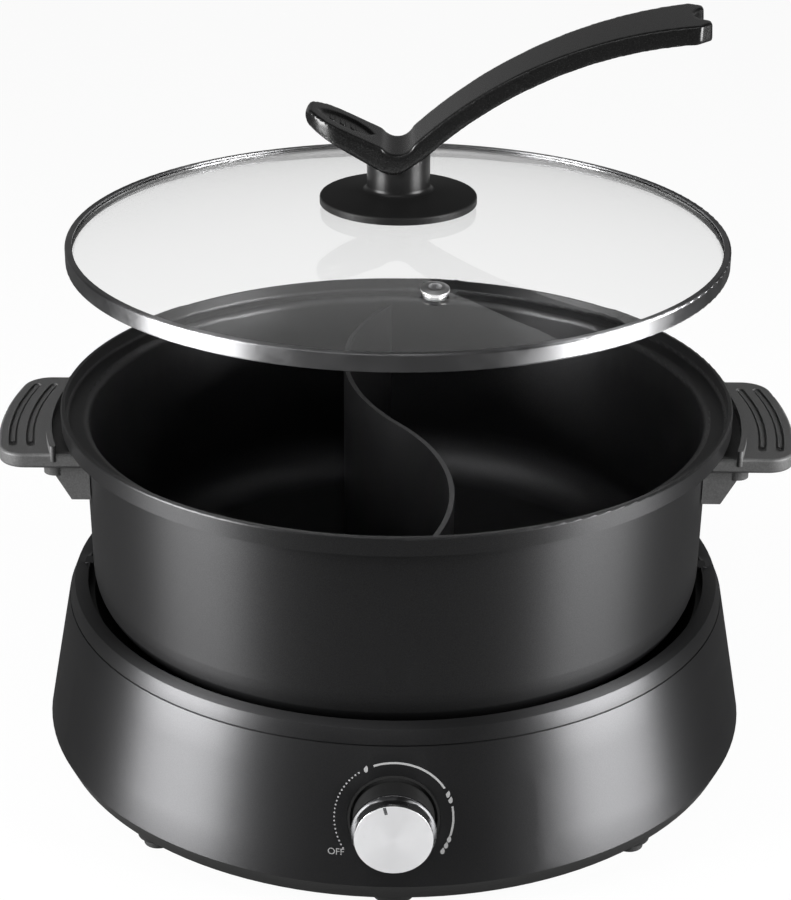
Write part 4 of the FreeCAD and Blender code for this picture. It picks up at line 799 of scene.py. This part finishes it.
def glow_material(name, strength, top):
    """A sheet that is plain white when looked at. In reflections its glow fades out towards its top."""
    material = bpy.data.materials.new(name)
    tree, output = bare_tree(material)
    glow = tree.nodes.new("ShaderNodeEmission")
    parts, _ = place_parts(tree)
    faded = ranged(tree, parts.outputs["Z"], 0.0, top, strength, 0.0)
    tree.links.new(math_node(tree, "MAXIMUM", looked_at(tree), faded), glow.inputs["Strength"])
    tree.links.new(glow.outputs[0], output.inputs["Surface"])
    return material


def stage_sheet(name, corners, material):
    """A flat sheet of the room, which isn't part of the object."""
    mesh = bmesh.new()
    mesh.faces.new([mesh.verts.new(corner) for corner in corners])
    data = kept_mesh(name, mesh)
    data.materials.append(material)
    sheet = in_scene(name, data)


def studio_world():
    """White where the camera looks, and dim to the part's surfaces."""
    world = bpy.data.worlds.new("studio")
    bpy.context.scene.world = world
    tree, output = bare_tree(world, "ShaderNodeOutputWorld")
    background = tree.nodes.new("ShaderNodeBackground")
    strength = ranged(tree, looked_at(tree), 0.0, 1.0, WORLD_DIM, 1.0)
    tree.links.new(strength, background.inputs["Strength"])
    background.inputs["Color"].default_value = (1.0, 1.0, 1.0, 1.0)
    tree.links.new(background.outputs[0], output.inputs["Surface"])


def room():
    """The floor, the backdrop and the world round them."""
    half = FLOOR_HALF
    floor_corners = ((-half, -half, 0), (half, -half, 0), (half, half, 0), (-half, half, 0))
    stage_sheet("floor", floor_corners, stage_material())
    across, back, top = BACKDROP
    back_corners = ((-across, back, 0), (across, back, 0), (across, back, top), (-across, back, top))
    stage_sheet("backdrop", back_corners, glow_material("backdrop", BACKDROP_GLOW, top))
    studio_world()


def area_light(name, place, aim_height, size, power):
    """A soft box that faces a point on the upright axis."""
    light = bpy.data.lights.new(name, "AREA")
    light.shape = "RECTANGLE"
    light.size, light.size_y = size
    light.energy = power
    lamp = in_scene(name, light)
    lamp.location = place
    aim = Vector((0, 0, aim_height)) - Vector(place)
    lamp.rotation_euler = aim.to_track_quat("-Z", "Y").to_euler()


def lights():
    """A soft box at each side and one above."""
    for name, turn, power in SIDE_BOXES:
        angle = math.radians(turn)
        place = (BOX_DISTANCE * math.sin(angle), -BOX_DISTANCE * math.cos(angle), BOX_HEIGHT)
        area_light(name, place, BOX_AIM_HEIGHT, BOX_SIZE, power)
    area_light("top_box", TOP_PLACE, TOP_AIM_HEIGHT, TOP_SIZE, TOP_POWER)


def camera():
    """The photograph's view."""
    data = bpy.data.cameras.new("photo_camera")
    data.lens = FOCAL_PIXELS * SENSOR_MM / FRAME_PIXELS
    data.sensor_width = SENSOR_MM
    data.sensor_fit = "AUTO"
    data.clip_start = NEAR_CLIP
    eye = in_scene("photo_camera", data)
    place = Matrix.Translation((CAMERA_X, -CAMERA_DISTANCE, CAMERA_HEIGHT))
    tilt = Matrix.Rotation(math.radians(90.0 - CAMERA_PITCH_DEG), 4, "X")
    roll = Matrix.Rotation(math.radians(CAMERA_ROLL_DEG), 4, "Z")
    eye.matrix_world = place @ tilt @ roll
    bpy.context.scene.camera = eye


dress_nodes()
melt("lid_handle", GRIP_VOXEL, GRIP_ROUNDS)
for node_name, edge_width in SOFT_EDGES:
    soften(node_name, edge_width)
dial_print()
dial_dots()
off_mark()
screw_recess_shades()
grip_nubs()
rounded_sheet("rating_label", LABEL_SIZE, LABEL_CORNER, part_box("bottom_cover")[0][2] - PRINT_LIFT,
              "label", "base")
room()
lights()
camera()

scene = bpy.context.scene
scene.view_settings.view_transform = "Standard"
